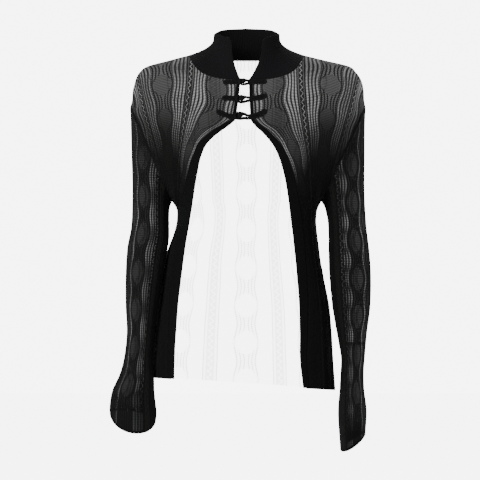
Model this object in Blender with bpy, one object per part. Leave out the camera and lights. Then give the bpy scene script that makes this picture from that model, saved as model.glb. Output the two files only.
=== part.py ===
"""A fine openwork knit jacket, worn and hollow: ribbed funnel collar, cutaway
fronts with narrow bands, dropped shoulders, bell sleeves and three cord frogs.

Metres, +Z up, the front faces -Y and +X is the viewer's right. The origin lies
between the shoulders, level with the points where the shoulders meet the neck.
The cloth is one smooth form: its distance in front of or behind the shoulder
line is worked out from how far it reaches sideways and how deep it is at each
height. Every panel is a grid of points on that form, given a wall.
"""
import math

import bmesh
import bpy
import numpy as np

# ---------------------------------------------------------------- sizes
PANEL_WALL = 0.0016         # knitted panels and sleeves
BAND_WALL = 0.0022          # dense front bands
COLLAR_WALL = 0.0026        # doubled rib of the collar, between its ribs
SEAM = 0.0003               # pieces stay this far apart

UNDERARM = -0.268           # height of the underarm points
SEAM_TOP = -0.0945          # height where the dropped shoulder seams end
CHEST = -0.120              # above this the body rounds over to the shoulders
CROWN = 0.014               # height where that rounding would close
NECK_HALF = 0.1070          # neck point to the middle, under the collar
NECK_POINT = 0.002          # height of the neck points
ARMHOLE_FRONT = 0.066       # how far the armhole bulges to the front
ARMHOLE_BACK = 0.056        # and to the back
HEM_MIDDLE = -0.605         # height of the hem at the middle
HEM_SLOPE = -0.068          # it drops a little towards the right
FRONT, BACK = -1, 1
LEFT, RIGHT = -1, 1
SIDE_NAME = {LEFT: "left", RIGHT: "right"}

# grid counts
LOWER_ROWS = 9              # hem to underarm
UPPER_ROWS = 12             # underarm to shoulder seam, and half round a sleeve
NECK_COLUMNS = 6            # columns that end at the neckline, each half panel
SHOULDER_COLUMNS = 8        # columns that end at the shoulder seam
SLEEVE_ROWS = 19
COLLAR_ROWS = 4
COLLAR_RIBS = 38            # on each half of the collar
RIB_HEIGHT = 0.0009
CORD_SIDES = 8


def table(heads, *rows):
    """Columns by name, from rows written side by side."""
    return {head: np.array(values) for head, values in zip(heads.split(), zip(*rows))}


# distance from the middle to each side seam
SIDES = table("height left right",
              (-0.640, 0.184, 0.166),
              (-0.595, 0.181, 0.163),
              (-0.556, 0.1765, 0.1602),
              (-0.510, 0.172, 0.1577),
              (-0.460, 0.164, 0.153),
              (-0.404, 0.1555, 0.142),
              (-0.370, 0.150, 0.1362),
              (-0.350, 0.1430, 0.1338),
              (-0.328, 0.1345, 0.1310),
              (-0.298, 0.1285, 0.1292),
              (-0.280, 0.130, 0.1322),
              (UNDERARM, 0.1378, 0.1385))

# the shoulder line, from the end of the dropped shoulder up to the neck point
SHOULDER = table("height left right",
                 (SEAM_TOP, 0.2152, 0.2205),
                 (-0.084, 0.2122, 0.2182),
                 (-0.062, 0.2102, 0.2168),
                 (-0.051, 0.2074, 0.2148),
                 (-0.040, 0.2040, 0.2104),
                 (-0.029, 0.1975, 0.2024),
                 (-0.018, 0.1828, 0.1892),
                 (-0.0065, 0.1400, 0.1420),
                 (-0.0015, 0.1215, 0.1215),
                 (NECK_POINT, NECK_HALF, NECK_HALF))

# greatest depth of the body before and behind the shoulder line, and how
# square its sections are (2 is an ellipse)
BODY = table("height front back squareness",
             (-0.640, 0.112, 0.110, 2.3),
             (-0.540, 0.110, 0.107, 2.3),
             (-0.440, 0.103, 0.092, 2.3),
             (-0.350, 0.104, 0.086, 2.25),
             (UNDERARM, 0.116, 0.094, 2.1),
             (-0.200, 0.122, 0.102, 1.85),
             (-0.150, 0.117, 0.106, 1.8),
             (CHEST, 0.111, 0.106, 1.85),
             (0.020, 0.111, 0.106, 2.1))

# front edges, from the middle: closed above the third frog, then cut away
EDGES = table("height left right",
              (-0.640, 0.1335, 0.1085),
              (-0.600, 0.1337, 0.1034),
              (-0.5615, 0.1333, 0.0992),
              (-0.506, 0.1302, 0.0988),
              (-0.4505, 0.1260, 0.0970),
              (-0.395, 0.1192, 0.0925),
              (-0.3506, 0.1134, 0.0882),
              (-0.3062, 0.1060, 0.0828),
              (-0.2618, 0.0984, 0.0770),
              (-0.2174, 0.0910, 0.0688),
              (-0.184, 0.0832, 0.0586),
              (-0.162, 0.0728, 0.0472),
              (-0.151, 0.0625, 0.0382),
              (-0.140, 0.0490, 0.0280),
              (-0.1286, 0.0328, 0.0155),
              (-0.117, 0.0200, 0.0072),
              (-0.106, 0.0184, 0.0066),
              (-0.075, 0.0143, 0.0052),
              (-0.043, 0.0108, 0.0040))

# width of the front bands
BANDS = table("height width",
              (-0.640, 0.011), (-0.150, 0.011), (-0.115, 0.0065), (-0.040, 0.0065))

# neckline: height at each distance from the middle
NECK_FRONT = table("reach height",
                   (0.000, -0.0432), (0.020, -0.0426), (0.040, -0.0410),
                   (0.062, -0.0366), (0.077, -0.0316), (0.094, -0.0185),
                   (NECK_HALF, NECK_POINT))
NECK_BACK = table("reach height",
                  (0.000, -0.0065), (0.050, -0.0060), (0.090, -0.0035),
                  (NECK_HALF, NECK_POINT))

# sleeves: outer and inner edge of each ring as seen from the front, how far it
# reaches forwards and back, and how much lower its front hangs
SLEEVES = {
    LEFT: table(
        "station outer outer_height inner inner_height front back droop",
        (0, 0.2152, SEAM_TOP, 0.1378, UNDERARM, ARMHOLE_FRONT, ARMHOLE_BACK, 0),
        (1, 0.2142, -0.127, 0.1412, -0.2785, 0.0600, 0.0470, 0),
        (2, 0.2128, -0.182, 0.1422, -0.2914, 0.0545, 0.0360, 0),
        (3, 0.2112, -0.247, 0.1424, -0.3117, 0.0550, 0.0290, 0),
        (4, 0.2130, -0.312, 0.1424, -0.3358, 0.0600, 0.0200, 0),
        (5, 0.2205, -0.354, 0.1462, -0.3617, 0.0690, 0.0090, 0),
        (6, 0.2234, -0.404, 0.1535, -0.4042, 0.0735, 0.0015, 0),
        (7, 0.2234, -0.460, 0.1619, -0.4597, 0.0745, -0.0060, 0),
        (8, 0.2213, -0.510, 0.1711, -0.5097, 0.0725, -0.0160, 0),
        (9, 0.2262, -0.556, 0.1748, -0.5559, 0.0725, -0.0235, 0.001),
        (10, 0.2345, -0.587, 0.1700, -0.5890, 0.0755, -0.0265, 0.004),
        (11, 0.2480, -0.617, 0.1690, -0.6210, 0.0790, -0.0290, 0.010),
        (12, 0.2530, -0.646, 0.1652, -0.6550, 0.0820, -0.0320, 0.020),
        (13, 0.2525, -0.659, 0.1662, -0.6700, 0.0825, -0.0325, 0.031)),
    RIGHT: table(
        "station outer outer_height inner inner_height front back droop",
        (0, 0.2205, SEAM_TOP, 0.1385, UNDERARM, ARMHOLE_FRONT, ARMHOLE_BACK, 0),
        (1, 0.2192, -0.130, 0.1430, -0.2765, 0.0600, 0.0470, 0),
        (2, 0.2188, -0.186, 0.1462, -0.2870, 0.0540, 0.0360, 0),
        (3, 0.2185, -0.251, 0.1496, -0.3062, 0.0530, 0.0300, 0),
        (4, 0.2218, -0.312, 0.1510, -0.3321, 0.0550, 0.0245, 0),
        (5, 0.2272, -0.358, 0.1510, -0.3617, 0.0590, 0.0190, 0),
        (6, 0.2303, -0.404, 0.1526, -0.4042, 0.0630, 0.0130, 0),
        (7, 0.2292, -0.460, 0.1576, -0.4597, 0.0650, 0.0050, 0),
        (8, 0.2230, -0.510, 0.1659, -0.5097, 0.0655, -0.0030, 0),
        (9, 0.2188, -0.556, 0.1738, -0.5559, 0.0670, -0.0090, 0),
        (10, 0.2168, -0.586, 0.1728, -0.5855, 0.0720, -0.0100, 0),
        (11, 0.2178, -0.617, 0.1712, -0.6170, 0.0790, -0.0090, 0),
        (12, 0.2222, -0.654, 0.1682, -0.6595, 0.0870, -0.0060, 0.006),
        (13, 0.2200, -0.697, 0.1722, -0.7255, 0.0900, -0.0080, 0.011)),
}

# collar: half width of its top ring each side, where its front edges stand
# there, and the height of its top edge from the front (0) to the back (1)
COLLAR_REACH = {LEFT: 0.0602, RIGHT: 0.0610}
COLLAR_EDGE = {LEFT: 0.0268, RIGHT: 0.0282}
COLLAR_FRONT = 0.054
COLLAR_BACK = 0.050
COLLAR_FLARE = 2.8          # how quickly it turns up from the shoulders
EDGE_FLARE = 1.8            # the same at its front edges
COLLAR_START = 0.004        # first row, just off the seam
COLLAR_TOP = table("round height",
                   (0.0, 0.0165), (0.015, 0.0263), (0.037, 0.0324), (0.107, 0.0360),
                   (0.2, 0.0395), (0.415, 0.0412), (0.516, 0.0435), (0.654, 0.0485),
                   (1.0, 0.0525))

# frogs: heights of the cord where it ends on the left front, leaves it,
# crosses the gap, meets the right front and ends there
FROGS = table("left_end left_end_height left_height knot knot_height"
              " right_height right_end right_end_height size",
              (-0.0416, -0.0492, -0.0492, -0.0050, -0.0492, -0.0492, 0.0350, -0.0482, 0.8),
              (-0.0430, -0.0785, -0.0800, -0.0083, -0.0808, -0.0800, 0.0345, -0.0750, 1.0),
              (-0.0535, -0.1035, -0.1130, -0.0112, -0.1118, -0.1140, 0.0340, -0.1025, 1.0))
CORD_WIDTH = 0.0046
CORD_THICK = 0.0026
CORD_OUT = SEAM + CORD_THICK / 2    # a cord lying on the cloth
NECK_WIDTH = 0.0040                 # cord under the knot
KNOT_RADIUS = 0.0055
KNOT_OUT = 0.0082
BIGHT_OUT = 0.0047                  # the loop where it crosses over the neck

# soft drape folds: place, half width, depth, and the heights between which
# each one grows in (a fold shows on one face only)
FOLDS = table("face place half_width depth starts full",
              (FRONT, -0.158, 0.012, -0.0030, -0.40, -0.56),
              (FRONT, 0.130, 0.011, -0.0030, -0.42, -0.58),
              (BACK, -0.115, 0.020, -0.0060, -0.30, -0.56),
              (BACK, -0.040, 0.024, -0.0050, -0.34, -0.58),
              (BACK, 0.050, 0.022, -0.0060, -0.32, -0.57),
              (BACK, 0.118, 0.018, -0.0050, -0.30, -0.58))

COLOURS = {"panel": (0.016, 0.016, 0.016, 1), "collar": (0.010, 0.009, 0.010, 1),
           "band": (0.012, 0.011, 0.012, 1), "cord": (0.014, 0.013, 0.014, 1)}


# ---------------------------------------------------------------- curves
def follow(rows, key, column, at):
    """A smooth curve through one column of a table, read at the given keys."""
    knots, values = rows[key], rows[column]
    slopes = np.gradient(values, knots)
    at = np.clip(at, knots[0], knots[-1])
    i = np.clip(np.searchsorted(knots, at, side="right") - 1, 0, len(knots) - 2)
    span = knots[i + 1] - knots[i]
    t = (at - knots[i]) / span
    ahead = t * t * (3 - 2 * t)
    return ((1 - ahead) * values[i] + ahead * values[i + 1]
            + span * t * (1 - t) * ((1 - t) * slopes[i] - t * slopes[i + 1]))


def ramp(value, start, end):
    """0 before start, 1 after end, soft between them."""
    t = np.clip((value - start) / (end - start), 0, 1)
    return t * t * (3 - 2 * t)


def spread(points, shares):
    """Points at the given shares of a line's length."""
    lengths = np.linalg.norm(np.diff(points, axis=0), axis=1)
    along = np.concatenate([[0], np.cumsum(lengths)])
    wanted = np.asarray(shares) * along[-1]
    return np.stack([np.interp(wanted, along, points[:, k])
                     for k in range(points.shape[1])], axis=1)


# ---------------------------------------------------------------- the form
def armhole(side, share):
    """Place and height on the shoulder seam, 0 at the underarm and 1 at its top."""
    name = SIDE_NAME[side]
    under, top = SIDES[name][-1], SHOULDER[name][0]
    return under + (top - under) * share, UNDERARM + (SEAM_TOP - UNDERARM) * share


def depth_at(height, face):
    """Greatest depth of the body at a height, closing at the crown."""
    full = follow(BODY, "height", "front" if face == FRONT else "back", height)
    over = np.clip((height - CHEST) / (CROWN - CHEST), 0, 1)
    bend = 1.5 if face == FRONT else 2.2
    return full * (1 - over ** bend) ** (1 / bend)


def reach_at(height, side, face):
    """How far the body's section would reach sideways at a height."""
    name = SIDE_NAME[side]
    squareness = follow(BODY, "height", "squareness", height)
    share = np.clip((height - UNDERARM) / (SEAM_TOP - UNDERARM), 0, 1)
    seam_place, _ = armhole(side, share)
    bulge = ARMHOLE_FRONT if face == FRONT else ARMHOLE_BACK
    seam_depth = bulge * np.sqrt(np.clip(1 - (1 - 2 * share) ** 2, 0, 1))
    ratio = np.clip(seam_depth / depth_at(height, face), 0, 0.95)
    beyond = seam_place / (1 - ratio ** squareness) ** (1 / squareness)
    below = follow(SIDES, "height", name, height)
    above = follow(SHOULDER, "height", name, height)
    return np.where(height <= UNDERARM, below,
                    np.where(height >= SEAM_TOP, above, beyond))


def cloth_depth(x, height, side, face):
    """Y of the cloth's outer face, in front of or behind the shoulder line."""
    squareness = follow(BODY, "height", "squareness", height)
    ratio = np.clip(np.abs(x) / reach_at(height, side, face), 0, 1)
    swell = (1 - ratio ** squareness) ** (1 / squareness)
    y = face * (SEAM / 2 + depth_at(height, face) * swell)
    for shown, place, half, deep, starts, full in zip(*FOLDS.values()):
        if shown == face:
            grown = 1 - ramp(height, full, starts)
            y = y + face * deep * grown * swell * np.exp(-((x - place) / half) ** 2)
    return y


def front_point(x, height, out=0.0):
    """A point on the front's outer face, moved out from it, and the way out."""
    side = RIGHT if x > 0 else LEFT
    step = 0.002
    y = float(cloth_depth(x, height, side, FRONT))
    slope_x = float(cloth_depth(x + step, height, side, FRONT)) - y
    slope_z = float(cloth_depth(x, height + step, side, FRONT)) - y
    away = np.array([slope_x, -step, slope_z])
    away /= np.linalg.norm(away)
    return np.array([x, y, height]) + out * away, away


def hem(x):
    return HEM_MIDDLE + HEM_SLOPE * x


def edge_at(side, height, inside=0.0):
    """Place of the front edge at a height, or of a line a width inside it."""
    name = SIDE_NAME[side]
    step = 0.001
    place = follow(EDGES, "height", name, height)
    slope = (follow(EDGES, "height", name, height + step) - place) / step
    return side * (place + inside * np.sqrt(1 + slope ** 2))


def band_width(height):
    return follow(BANDS, "height", "width", height)


# ---------------------------------------------------------------- panels
def half_panel(side, face):
    """Half of the body: rows from hem to shoulder, columns from the middle out."""
    columns = NECK_COLUMNS + SHOULDER_COLUMNS
    neck_heights = NECK_FRONT if face == FRONT else NECK_BACK

    def middle(height):
        """The panel's inner edge: beside the band, or the centre back."""
        if face == BACK:
            return np.zeros_like(height)
        return edge_at(side, height, band_width(height) + SEAM)

    def section(share, height):
        """Across from the inner edge to the side, evenly round the section."""
        reach = reach_at(height, side, face)
        start = np.arcsin(np.clip(np.abs(middle(height)) / reach, 0, 1))
        return side * reach * np.sin(start + (math.pi / 2 - start) * share)

    share = np.linspace(0, 1, columns + 1)
    lower = []
    for t in np.linspace(0, 1, LOWER_ROWS + 1):
        climb = 1 - (1 - t) ** 1.6
        x = section(share, np.full(columns + 1, HEM_MIDDLE))
        for _ in range(4):
            height = hem(x) + (UNDERARM - hem(x)) * climb
            x = section(share, height)
        lower.append(np.stack([x, height], axis=1))

    neck_start = float(follow(neck_heights, "reach", "height", 0.0))
    rise = np.linspace(UNDERARM, neck_start, 80)
    inner_line = np.stack([middle(rise), rise], axis=1)
    reach = np.linspace(abs(inner_line[-1, 0]), NECK_HALF, 60)
    neck = np.stack([side * reach, follow(neck_heights, "reach", "height", reach)], axis=1)
    fall = NECK_POINT + (SEAM_TOP - NECK_POINT) * np.linspace(0, 1, 200) ** 2
    ridge = np.stack([side * follow(SHOULDER, "height", SIDE_NAME[side], fall), fall], axis=1)
    ridge = spread(ridge, np.linspace(0, 1, SHOULDER_COLUMNS + 1))
    ridge[:, 0] = side * follow(SHOULDER, "height", SIDE_NAME[side], ridge[:, 1])
    top = np.concatenate([spread(neck, np.linspace(0, 1, NECK_COLUMNS + 1)), ridge[1:]])
    bottom = lower[-1]

    upper = []
    for t in np.linspace(0, 1, UPPER_ROWS + 1)[1:]:
        climb = (1 - math.cos(math.pi * t)) / 2
        inner = spread(inner_line, [t])[0]
        place, height = armhole(side, climb)
        outer = np.array([side * place, height])
        u = share[:, None]
        row = ((1 - climb) * bottom + climb * top + (1 - u) * inner + u * outer
               - (1 - u) * ((1 - climb) * bottom[0] + climb * top[0])
               - u * ((1 - climb) * bottom[-1] + climb * top[-1]))
        upper.append(row)
    plane = np.array(lower + upper)
    x, height = plane[..., 0], plane[..., 1]
    y = cloth_depth(x, height, side, face)
    return np.stack([x, y, height], axis=-1)


def armhole_normal(side):
    """Away from the body, square to the shoulder seam as seen from the front."""
    under, low = armhole(side, 0)
    top, high = armhole(side, 1)
    along = np.array([side * (top - under), 0, high - low])
    along /= np.linalg.norm(along)
    return np.array([side * along[2], 0, -side * along[0]])


def normals_of(grid, closed=False):
    """Unit normals of a grid of points, turned away from the shoulder line."""
    ring = np.concatenate([grid[:, -1:], grid, grid[:, :1]], axis=1) if closed else grid
    across = np.gradient(ring, axis=1)
    across = across[:, 1:-1] if closed else across
    up = np.gradient(grid, axis=0)
    normal = np.cross(across, up)
    return normal / np.linalg.norm(normal, axis=-1, keepdims=True)


def wall(name, outer, normal, thickness, kind, closed=False):
    """A closed wall: outer points, inner points and the rims between them."""
    rows, columns = outer.shape[:2]
    inner = outer - normal * thickness
    points = np.concatenate([outer.reshape(-1, 3), inner.reshape(-1, 3)])
    count = rows * columns

    def at(row, column, layer):
        return layer * count + row * columns + column % columns

    faces = []
    last = columns if closed else columns - 1
    for r in range(rows - 1):
        for c in range(last):
            corner = ((r, c), (r, c + 1), (r + 1, c + 1), (r + 1, c))
            faces.append([at(i, j, 0) for i, j in corner])
            faces.append([at(i, j, 1) for i, j in reversed(corner)])
    for c in range(last):
        for r in (0, rows - 1):
            faces.append([at(r, c, 0), at(r, c, 1), at(r, c + 1, 1), at(r, c + 1, 0)])
    if not closed:
        for r in range(rows - 1):
            for c in (0, columns - 1):
                faces.append([at(r, c, 0), at(r + 1, c, 0), at(r + 1, c, 1), at(r, c, 1)])
    return solid(name, points, faces, kind)


def solid(name, points, faces, kind):
    """One named object with its material, its faces turned outwards."""
    mesh = bpy.data.meshes.new(name)
    mesh.from_pydata([tuple(p) for p in points], [], faces)
    shape = bmesh.new()
    shape.from_mesh(mesh)
    bmesh.ops.recalc_face_normals(shape, faces=shape.faces)
    shape.to_mesh(mesh)
    shape.free()
    mesh.shade_smooth()
    mesh.set_sharp_from_angle(angle=math.radians(50))
    mesh.materials.append(material(kind))
    piece = bpy.data.objects.new(name, mesh)
    jacket.objects.link(piece)
    return piece


def material(kind):
    """A plain dark yarn finish, one for each kind of piece."""
    name = "yarn_" + kind
    found = bpy.data.materials.get(name)
    if found:
        return found
    made = bpy.data.materials.new(name)
    made.use_nodes = True
    shader = made.node_tree.nodes["Principled BSDF"]
    shader.inputs["Base Color"].default_value = COLOURS[kind]
    shader.inputs["Roughness"].default_value = 0.85
    made.diffuse_color = COLOURS[kind]
    return made


def level(normal, mask):
    """Normals along a seam at the shoulder line lie square to that line."""
    normal[mask, 1] = 0
    normal[mask] /= np.linalg.norm(normal[mask], axis=-1, keepdims=True)


def shared(normal, other):
    """Where two pieces meet, both walls turn in along one line between them."""
    agree = np.sum(normal * other, axis=-1, keepdims=True)
    both = normal + np.clip(agree / 0.3, 0, 1) * other
    return both / np.linalg.norm(both, axis=-1, keepdims=True)


def panel_normals(grid, facing):
    """Normals of a body panel, level along its shoulder and side seams."""
    normal = normals_of(grid) * facing
    level(normal, np.abs(grid[..., 1]) < SEAM)
    return normal


def band_grid(side, front):
    """The dense band beside a front edge, in step with the panel's rows."""
    heights = front[:, 0, 2]
    inside = np.linspace(0, 1, 3)
    grid = []
    for height in heights:
        places = edge_at(side, height, band_width(height) * inside)
        levels = hem(places) if height == heights[0] else np.full(3, height)
        y = cloth_depth(places, levels, side, FRONT)
        grid.append(np.stack([places, y, levels], axis=1))
    return np.array(grid)


# ---------------------------------------------------------------- sleeves
def sleeve_grid(side):
    """Rings from the armhole to the cuff; each is seen as a line from the front."""
    rows = SLEEVES[side]
    round_angle = np.linspace(0, 2 * math.pi, 2 * UPPER_ROWS, endpoint=False)
    share = (1 + np.cos(round_angle)) / 2
    swing = np.sin(round_angle)
    grid = []
    for station in np.linspace(0, rows["station"][-1], SLEEVE_ROWS + 1):
        ring = {name: follow(rows, "station", name, station) for name in rows}
        place = ring["inner"] + (ring["outer"] - ring["inner"]) * share
        height = ring["inner_height"] + (ring["outer_height"] - ring["inner_height"]) * share
        height = height - ring["droop"] * np.where(swing > 0, swing, 0.3 * swing)
        seam_y = -swing * np.where(swing > 0, ring["front"], ring["back"])
        free_y = (ring["back"] - ring["front"]) / 2 - swing * (ring["back"] + ring["front"]) / 2
        freed = ramp(station, 0, 3)
        grid.append(np.stack([side * place, seam_y + (free_y - seam_y) * freed, height], axis=1))
    grid = np.array(grid)
    grid[0] += armhole_normal(side) * SEAM
    return grid


def join_armhole(front_normal, back_normal, sleeve_normal):
    """Front, back and sleeve turn their walls in together along the armhole."""
    rows = np.arange(1, UPPER_ROWS)
    for normal, places in ((front_normal, UPPER_ROWS - rows), (back_normal, UPPER_ROWS + rows)):
        body_rim = normal[LOWER_ROWS + rows, -1].copy()
        sleeve_rim = sleeve_normal[0, places].copy()
        normal[LOWER_ROWS + rows, -1] = shared(body_rim, sleeve_rim)
        sleeve_normal[0, places] = shared(sleeve_rim, body_rim)
    top = shared(front_normal[-1, -1:], sleeve_normal[0, :1])
    level(top, np.array([True]))
    front_normal[-1, -1] = back_normal[-1, -1] = sleeve_normal[0, 0] = top[0]


# ---------------------------------------------------------------- collar
def neckline(side_band, side_front, side_back):
    """What lies along the neckline from the front edge round to the centre back."""
    columns = NECK_COLUMNS + 1
    return np.concatenate([side_band[-1, :1], side_front[-1, :columns],
                           side_back[-1, :columns - 1][::-1]])


def collar_half(side, base):
    """Half of the collar: rows upwards, columns from the front edge to the back."""
    count = 2 * COLLAR_RIBS
    share = np.linspace(0, 1, count + 1)
    foot = spread(base, share)
    first = math.asin(COLLAR_EDGE[side] / COLLAR_REACH[side])
    turn = first + (math.pi - first) * share
    top_x = side * COLLAR_REACH[side] * np.sin(turn)
    top_y = -np.cos(turn) * np.where(np.cos(turn) > 0, COLLAR_FRONT, COLLAR_BACK)
    top_z = follow(COLLAR_TOP, "round", "height", share)
    head = np.stack([top_x, top_y, top_z], axis=1)
    grid = []
    for t in np.linspace(0, 1, COLLAR_ROWS + 1):
        climb = COLLAR_START + (1 - COLLAR_START) * t ** 1.25
        flare = EDGE_FLARE + (COLLAR_FLARE - EDGE_FLARE) * ramp(share, 0, 0.3)
        sideways = 1 - (1 - climb) ** flare
        mix = np.stack([sideways, sideways, np.full_like(share, climb)], axis=1)
        grid.append(foot + (head - foot) * mix)
    return np.array(grid)


def join_neckline(base, band_normal, front_normal, back_normal, collar_foot):
    """Panels and collar turn their walls in together along the neckline."""
    columns = NECK_COLUMNS + 1
    chord = np.linalg.norm(np.diff(base, axis=0), axis=1)
    share = np.concatenate([[0], np.cumsum(chord)]) / chord.sum()
    foot_share = np.linspace(0, 1, len(collar_foot))
    collar_rim = np.stack([np.interp(share, foot_share, collar_foot[:, k])
                           for k in range(3)], axis=1)
    rim = shared(neckline(band_normal, front_normal, back_normal), collar_rim)
    level(rim, np.arange(len(rim)) == columns)
    band_normal[-1] = rim[0]
    front_normal[-1, :columns] = rim[1:columns + 1]
    back_normal[-1, :columns - 1] = rim[columns + 1:][::-1]
    back_normal[-1, columns - 1] = rim[columns]
    foot = np.stack([np.interp(foot_share, share, rim[:, k]) for k in range(3)], axis=1)
    collar_foot[:] = foot / np.linalg.norm(foot, axis=1, keepdims=True)


def make_collar(grid, normal):
    """One ribbed piece from front edge to front edge, plain inside."""
    ribs = RIB_HEIGHT * (np.arange(grid.shape[1]) % 2)[None, :, None]
    wall("collar", grid + normal * ribs, normal, COLLAR_WALL + ribs, "collar")


def make_cloth():
    """Every knitted piece, its walls turned in together along each seam."""
    middle = NECK_COLUMNS + SHOULDER_COLUMNS
    fronts = {side: half_panel(side, FRONT) for side in (LEFT, RIGHT)}
    backs = {side: half_panel(side, BACK) for side in (LEFT, RIGHT)}
    back = np.concatenate([backs[LEFT][:, ::-1], backs[RIGHT][:, 1:]], axis=1)
    back_normal = panel_normals(back, -1)
    back_halves = {LEFT: back_normal[:, middle::-1], RIGHT: back_normal[:, middle:]}
    bands = {side: band_grid(side, fronts[side]) for side in (LEFT, RIGHT)}
    bases = {side: neckline(bands[side], fronts[side], backs[side]) for side in (LEFT, RIGHT)}
    collar = np.concatenate([collar_half(LEFT, bases[LEFT]),
                             collar_half(RIGHT, bases[RIGHT])[:, ::-1][:, 1:]], axis=1)
    collar_normal = -normals_of(collar)
    half = 2 * COLLAR_RIBS
    feet = {LEFT: collar_normal[0, :half + 1], RIGHT: collar_normal[0, half:][::-1]}
    for side in (LEFT, RIGHT):
        name = SIDE_NAME[side]
        sleeve = sleeve_grid(side)
        sleeve_normal = normals_of(sleeve, closed=True) * side
        front_normal = panel_normals(fronts[side], side)
        band_normal = normals_of(bands[side]) * side
        join_armhole(front_normal, back_halves[side], sleeve_normal)
        join_neckline(bases[side], band_normal, front_normal, back_halves[side], feet[side])
        wall("front_" + name, fronts[side], front_normal, PANEL_WALL, "panel")
        wall("band_" + name, bands[side], band_normal, BAND_WALL, "band")
        wall("sleeve_" + name, sleeve, sleeve_normal, PANEL_WALL, "panel", closed=True)
    wall("back", back, back_normal, PANEL_WALL, "panel")
    make_collar(collar, collar_normal)


# ---------------------------------------------------------------- frogs
def sweep(name, centres, aside, ahead, widths, thicks, closed):
    """A flat cord along its centres, its broad side along aside."""
    out = np.cross(aside, ahead)
    angle = np.linspace(0, 2 * math.pi, CORD_SIDES, endpoint=False) + math.pi / CORD_SIDES
    rings = (centres[:, None]
             + aside[:, None] * (np.cos(angle)[None, :, None] * widths[:, None, None] / 2)
             + out[:, None] * (np.sin(angle)[None, :, None] * thicks[:, None, None] / 2))
    count = len(centres)
    faces = []
    for r in range(count if closed else count - 1):
        below, above = r * CORD_SIDES, (r + 1) % count * CORD_SIDES
        for c in range(CORD_SIDES):
            d = (c + 1) % CORD_SIDES
            faces.append([below + c, below + d, above + d, above + c])
    if not closed:
        faces.append(list(range(CORD_SIDES)))
        faces.append([(count - 1) * CORD_SIDES + c for c in range(CORD_SIDES)])
    solid(name, rings.reshape(-1, 3), faces, "cord")


def unit(vectors):
    return vectors / np.linalg.norm(vectors, axis=-1, keepdims=True)


def cord_line(frog):
    """Height of a frog's cord at each place across the fronts."""
    left = float(edge_at(LEFT, frog["left_height"]))
    right = float(edge_at(RIGHT, frog["right_height"]))
    level_stretch = 0.007
    return table("place height",
                 (frog["left_end"], frog["left_end_height"]),
                 (min(left, frog["knot"] - level_stretch) - 0.004, frog["left_height"]),
                 (frog["knot"] - level_stretch, frog["knot_height"]),
                 (frog["knot"] + level_stretch, frog["knot_height"]),
                 (max(right, frog["knot"] + level_stretch) + 0.004, frog["right_height"]),
                 (frog["right_end"], frog["right_end_height"]))


def lay(line, route):
    """Points of a route (place, out of the cloth, off the line) on the fronts."""
    pairs = [front_point(x, float(follow(line, "place", "height", x)) + off, out)
             for x, out, off in route]
    return (np.array(values) for values in zip(*pairs))


def make_knot_half(name, frog, line):
    """Left half: a broad tab on the front, a neck in the gap and the knot."""
    start, knot, size = frog["left_end"], frog["knot"], frog["size"]
    broad = 2 * CORD_WIDTH
    sections = [                      # place, out of the cloth, width, thickness
        (start, CORD_OUT, 0.35 * broad, 0.6 * CORD_THICK),
        (start + 0.0012, CORD_OUT, 0.78 * broad, 0.9 * CORD_THICK),
        (start + 0.0040, CORD_OUT, broad, CORD_THICK),
        (start + 0.0120, CORD_OUT, broad, CORD_THICK),
        (knot - size * 0.0165, CORD_OUT, 0.95 * broad, CORD_THICK),
        (knot - size * 0.0130, CORD_OUT, NECK_WIDTH, CORD_THICK),
        (knot - size * 0.0060, CORD_OUT, NECK_WIDTH, CORD_THICK),
        (knot - size * 0.0022, CORD_OUT + 0.0005, NECK_WIDTH, CORD_THICK)]
    for angle in np.radians([38, 62, 90, 118, 142, 165]):
        across = 2 * KNOT_RADIUS * math.sin(angle)
        sections.append((knot, KNOT_OUT - KNOT_RADIUS * math.cos(angle), across, across))
    places, outs, widths, thicks = (np.array(values) for values in zip(*sections))
    outs = CORD_OUT + size * (outs - CORD_OUT)
    centres, away = lay(line, [(x, out, 0.0) for x, out in zip(places, outs)])
    ahead = unit(np.gradient(centres, axis=0))
    ahead[-6:] = away[-6:]
    aside = unit(np.cross(unit(centres[6] - centres[4]), away[6]))
    aside = np.tile(aside, (len(centres), 1))
    ahead = unit(ahead - aside * np.sum(ahead * aside, axis=1, keepdims=True))
    sweep(name, centres, aside, ahead, size * widths, thicks * np.where(outs > 0.003, size, 1),
          closed=False)


def make_loop_half(name, frog, line):
    """Right half: one cord, doubled back, its bight round the knot's neck."""
    knot, end, size = frog["knot"], frog["right_end"], frog["size"]
    close, wide = CORD_WIDTH / 2 + SEAM, 0.0049
    one_side = [                      # place, out of the cloth, off the line
        (end - size * 0.0024, CORD_OUT, close),
        (end - 0.0120, CORD_OUT, close),
        (knot + size * 0.0150, CORD_OUT, close),
        (knot + size * 0.0080, CORD_OUT, 0.0036),
        (knot + size * 0.0020, CORD_OUT, wide),
        (knot - size * 0.0025, CORD_OUT + 0.0004, 0.0051),
        (knot - size * 0.0058, CORD_OUT + 0.0021, wide),
        (knot - size * 0.0084, BIGHT_OUT, 0.0037),
        (knot - size * 0.0096, BIGHT_OUT, 0.0018)]
    route = one_side + [(knot - size * 0.0100, BIGHT_OUT, 0.0)]
    route += [(x, out, -off) for x, out, off in reversed(one_side)]
    route.append((end, CORD_OUT, 0.0))
    route = [(x, CORD_OUT + size * (out - CORD_OUT), size * off) for x, out, off in route]
    centres, away = lay(line, route)
    ahead = unit(np.roll(centres, -1, axis=0) - np.roll(centres, 1, axis=0))
    aside = unit(np.cross(ahead, away))
    widths = np.full(len(centres), size * CORD_WIDTH)
    thicks = np.full(len(centres), CORD_THICK)
    sweep(name, centres, aside, ahead, widths, thicks, closed=True)


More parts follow.
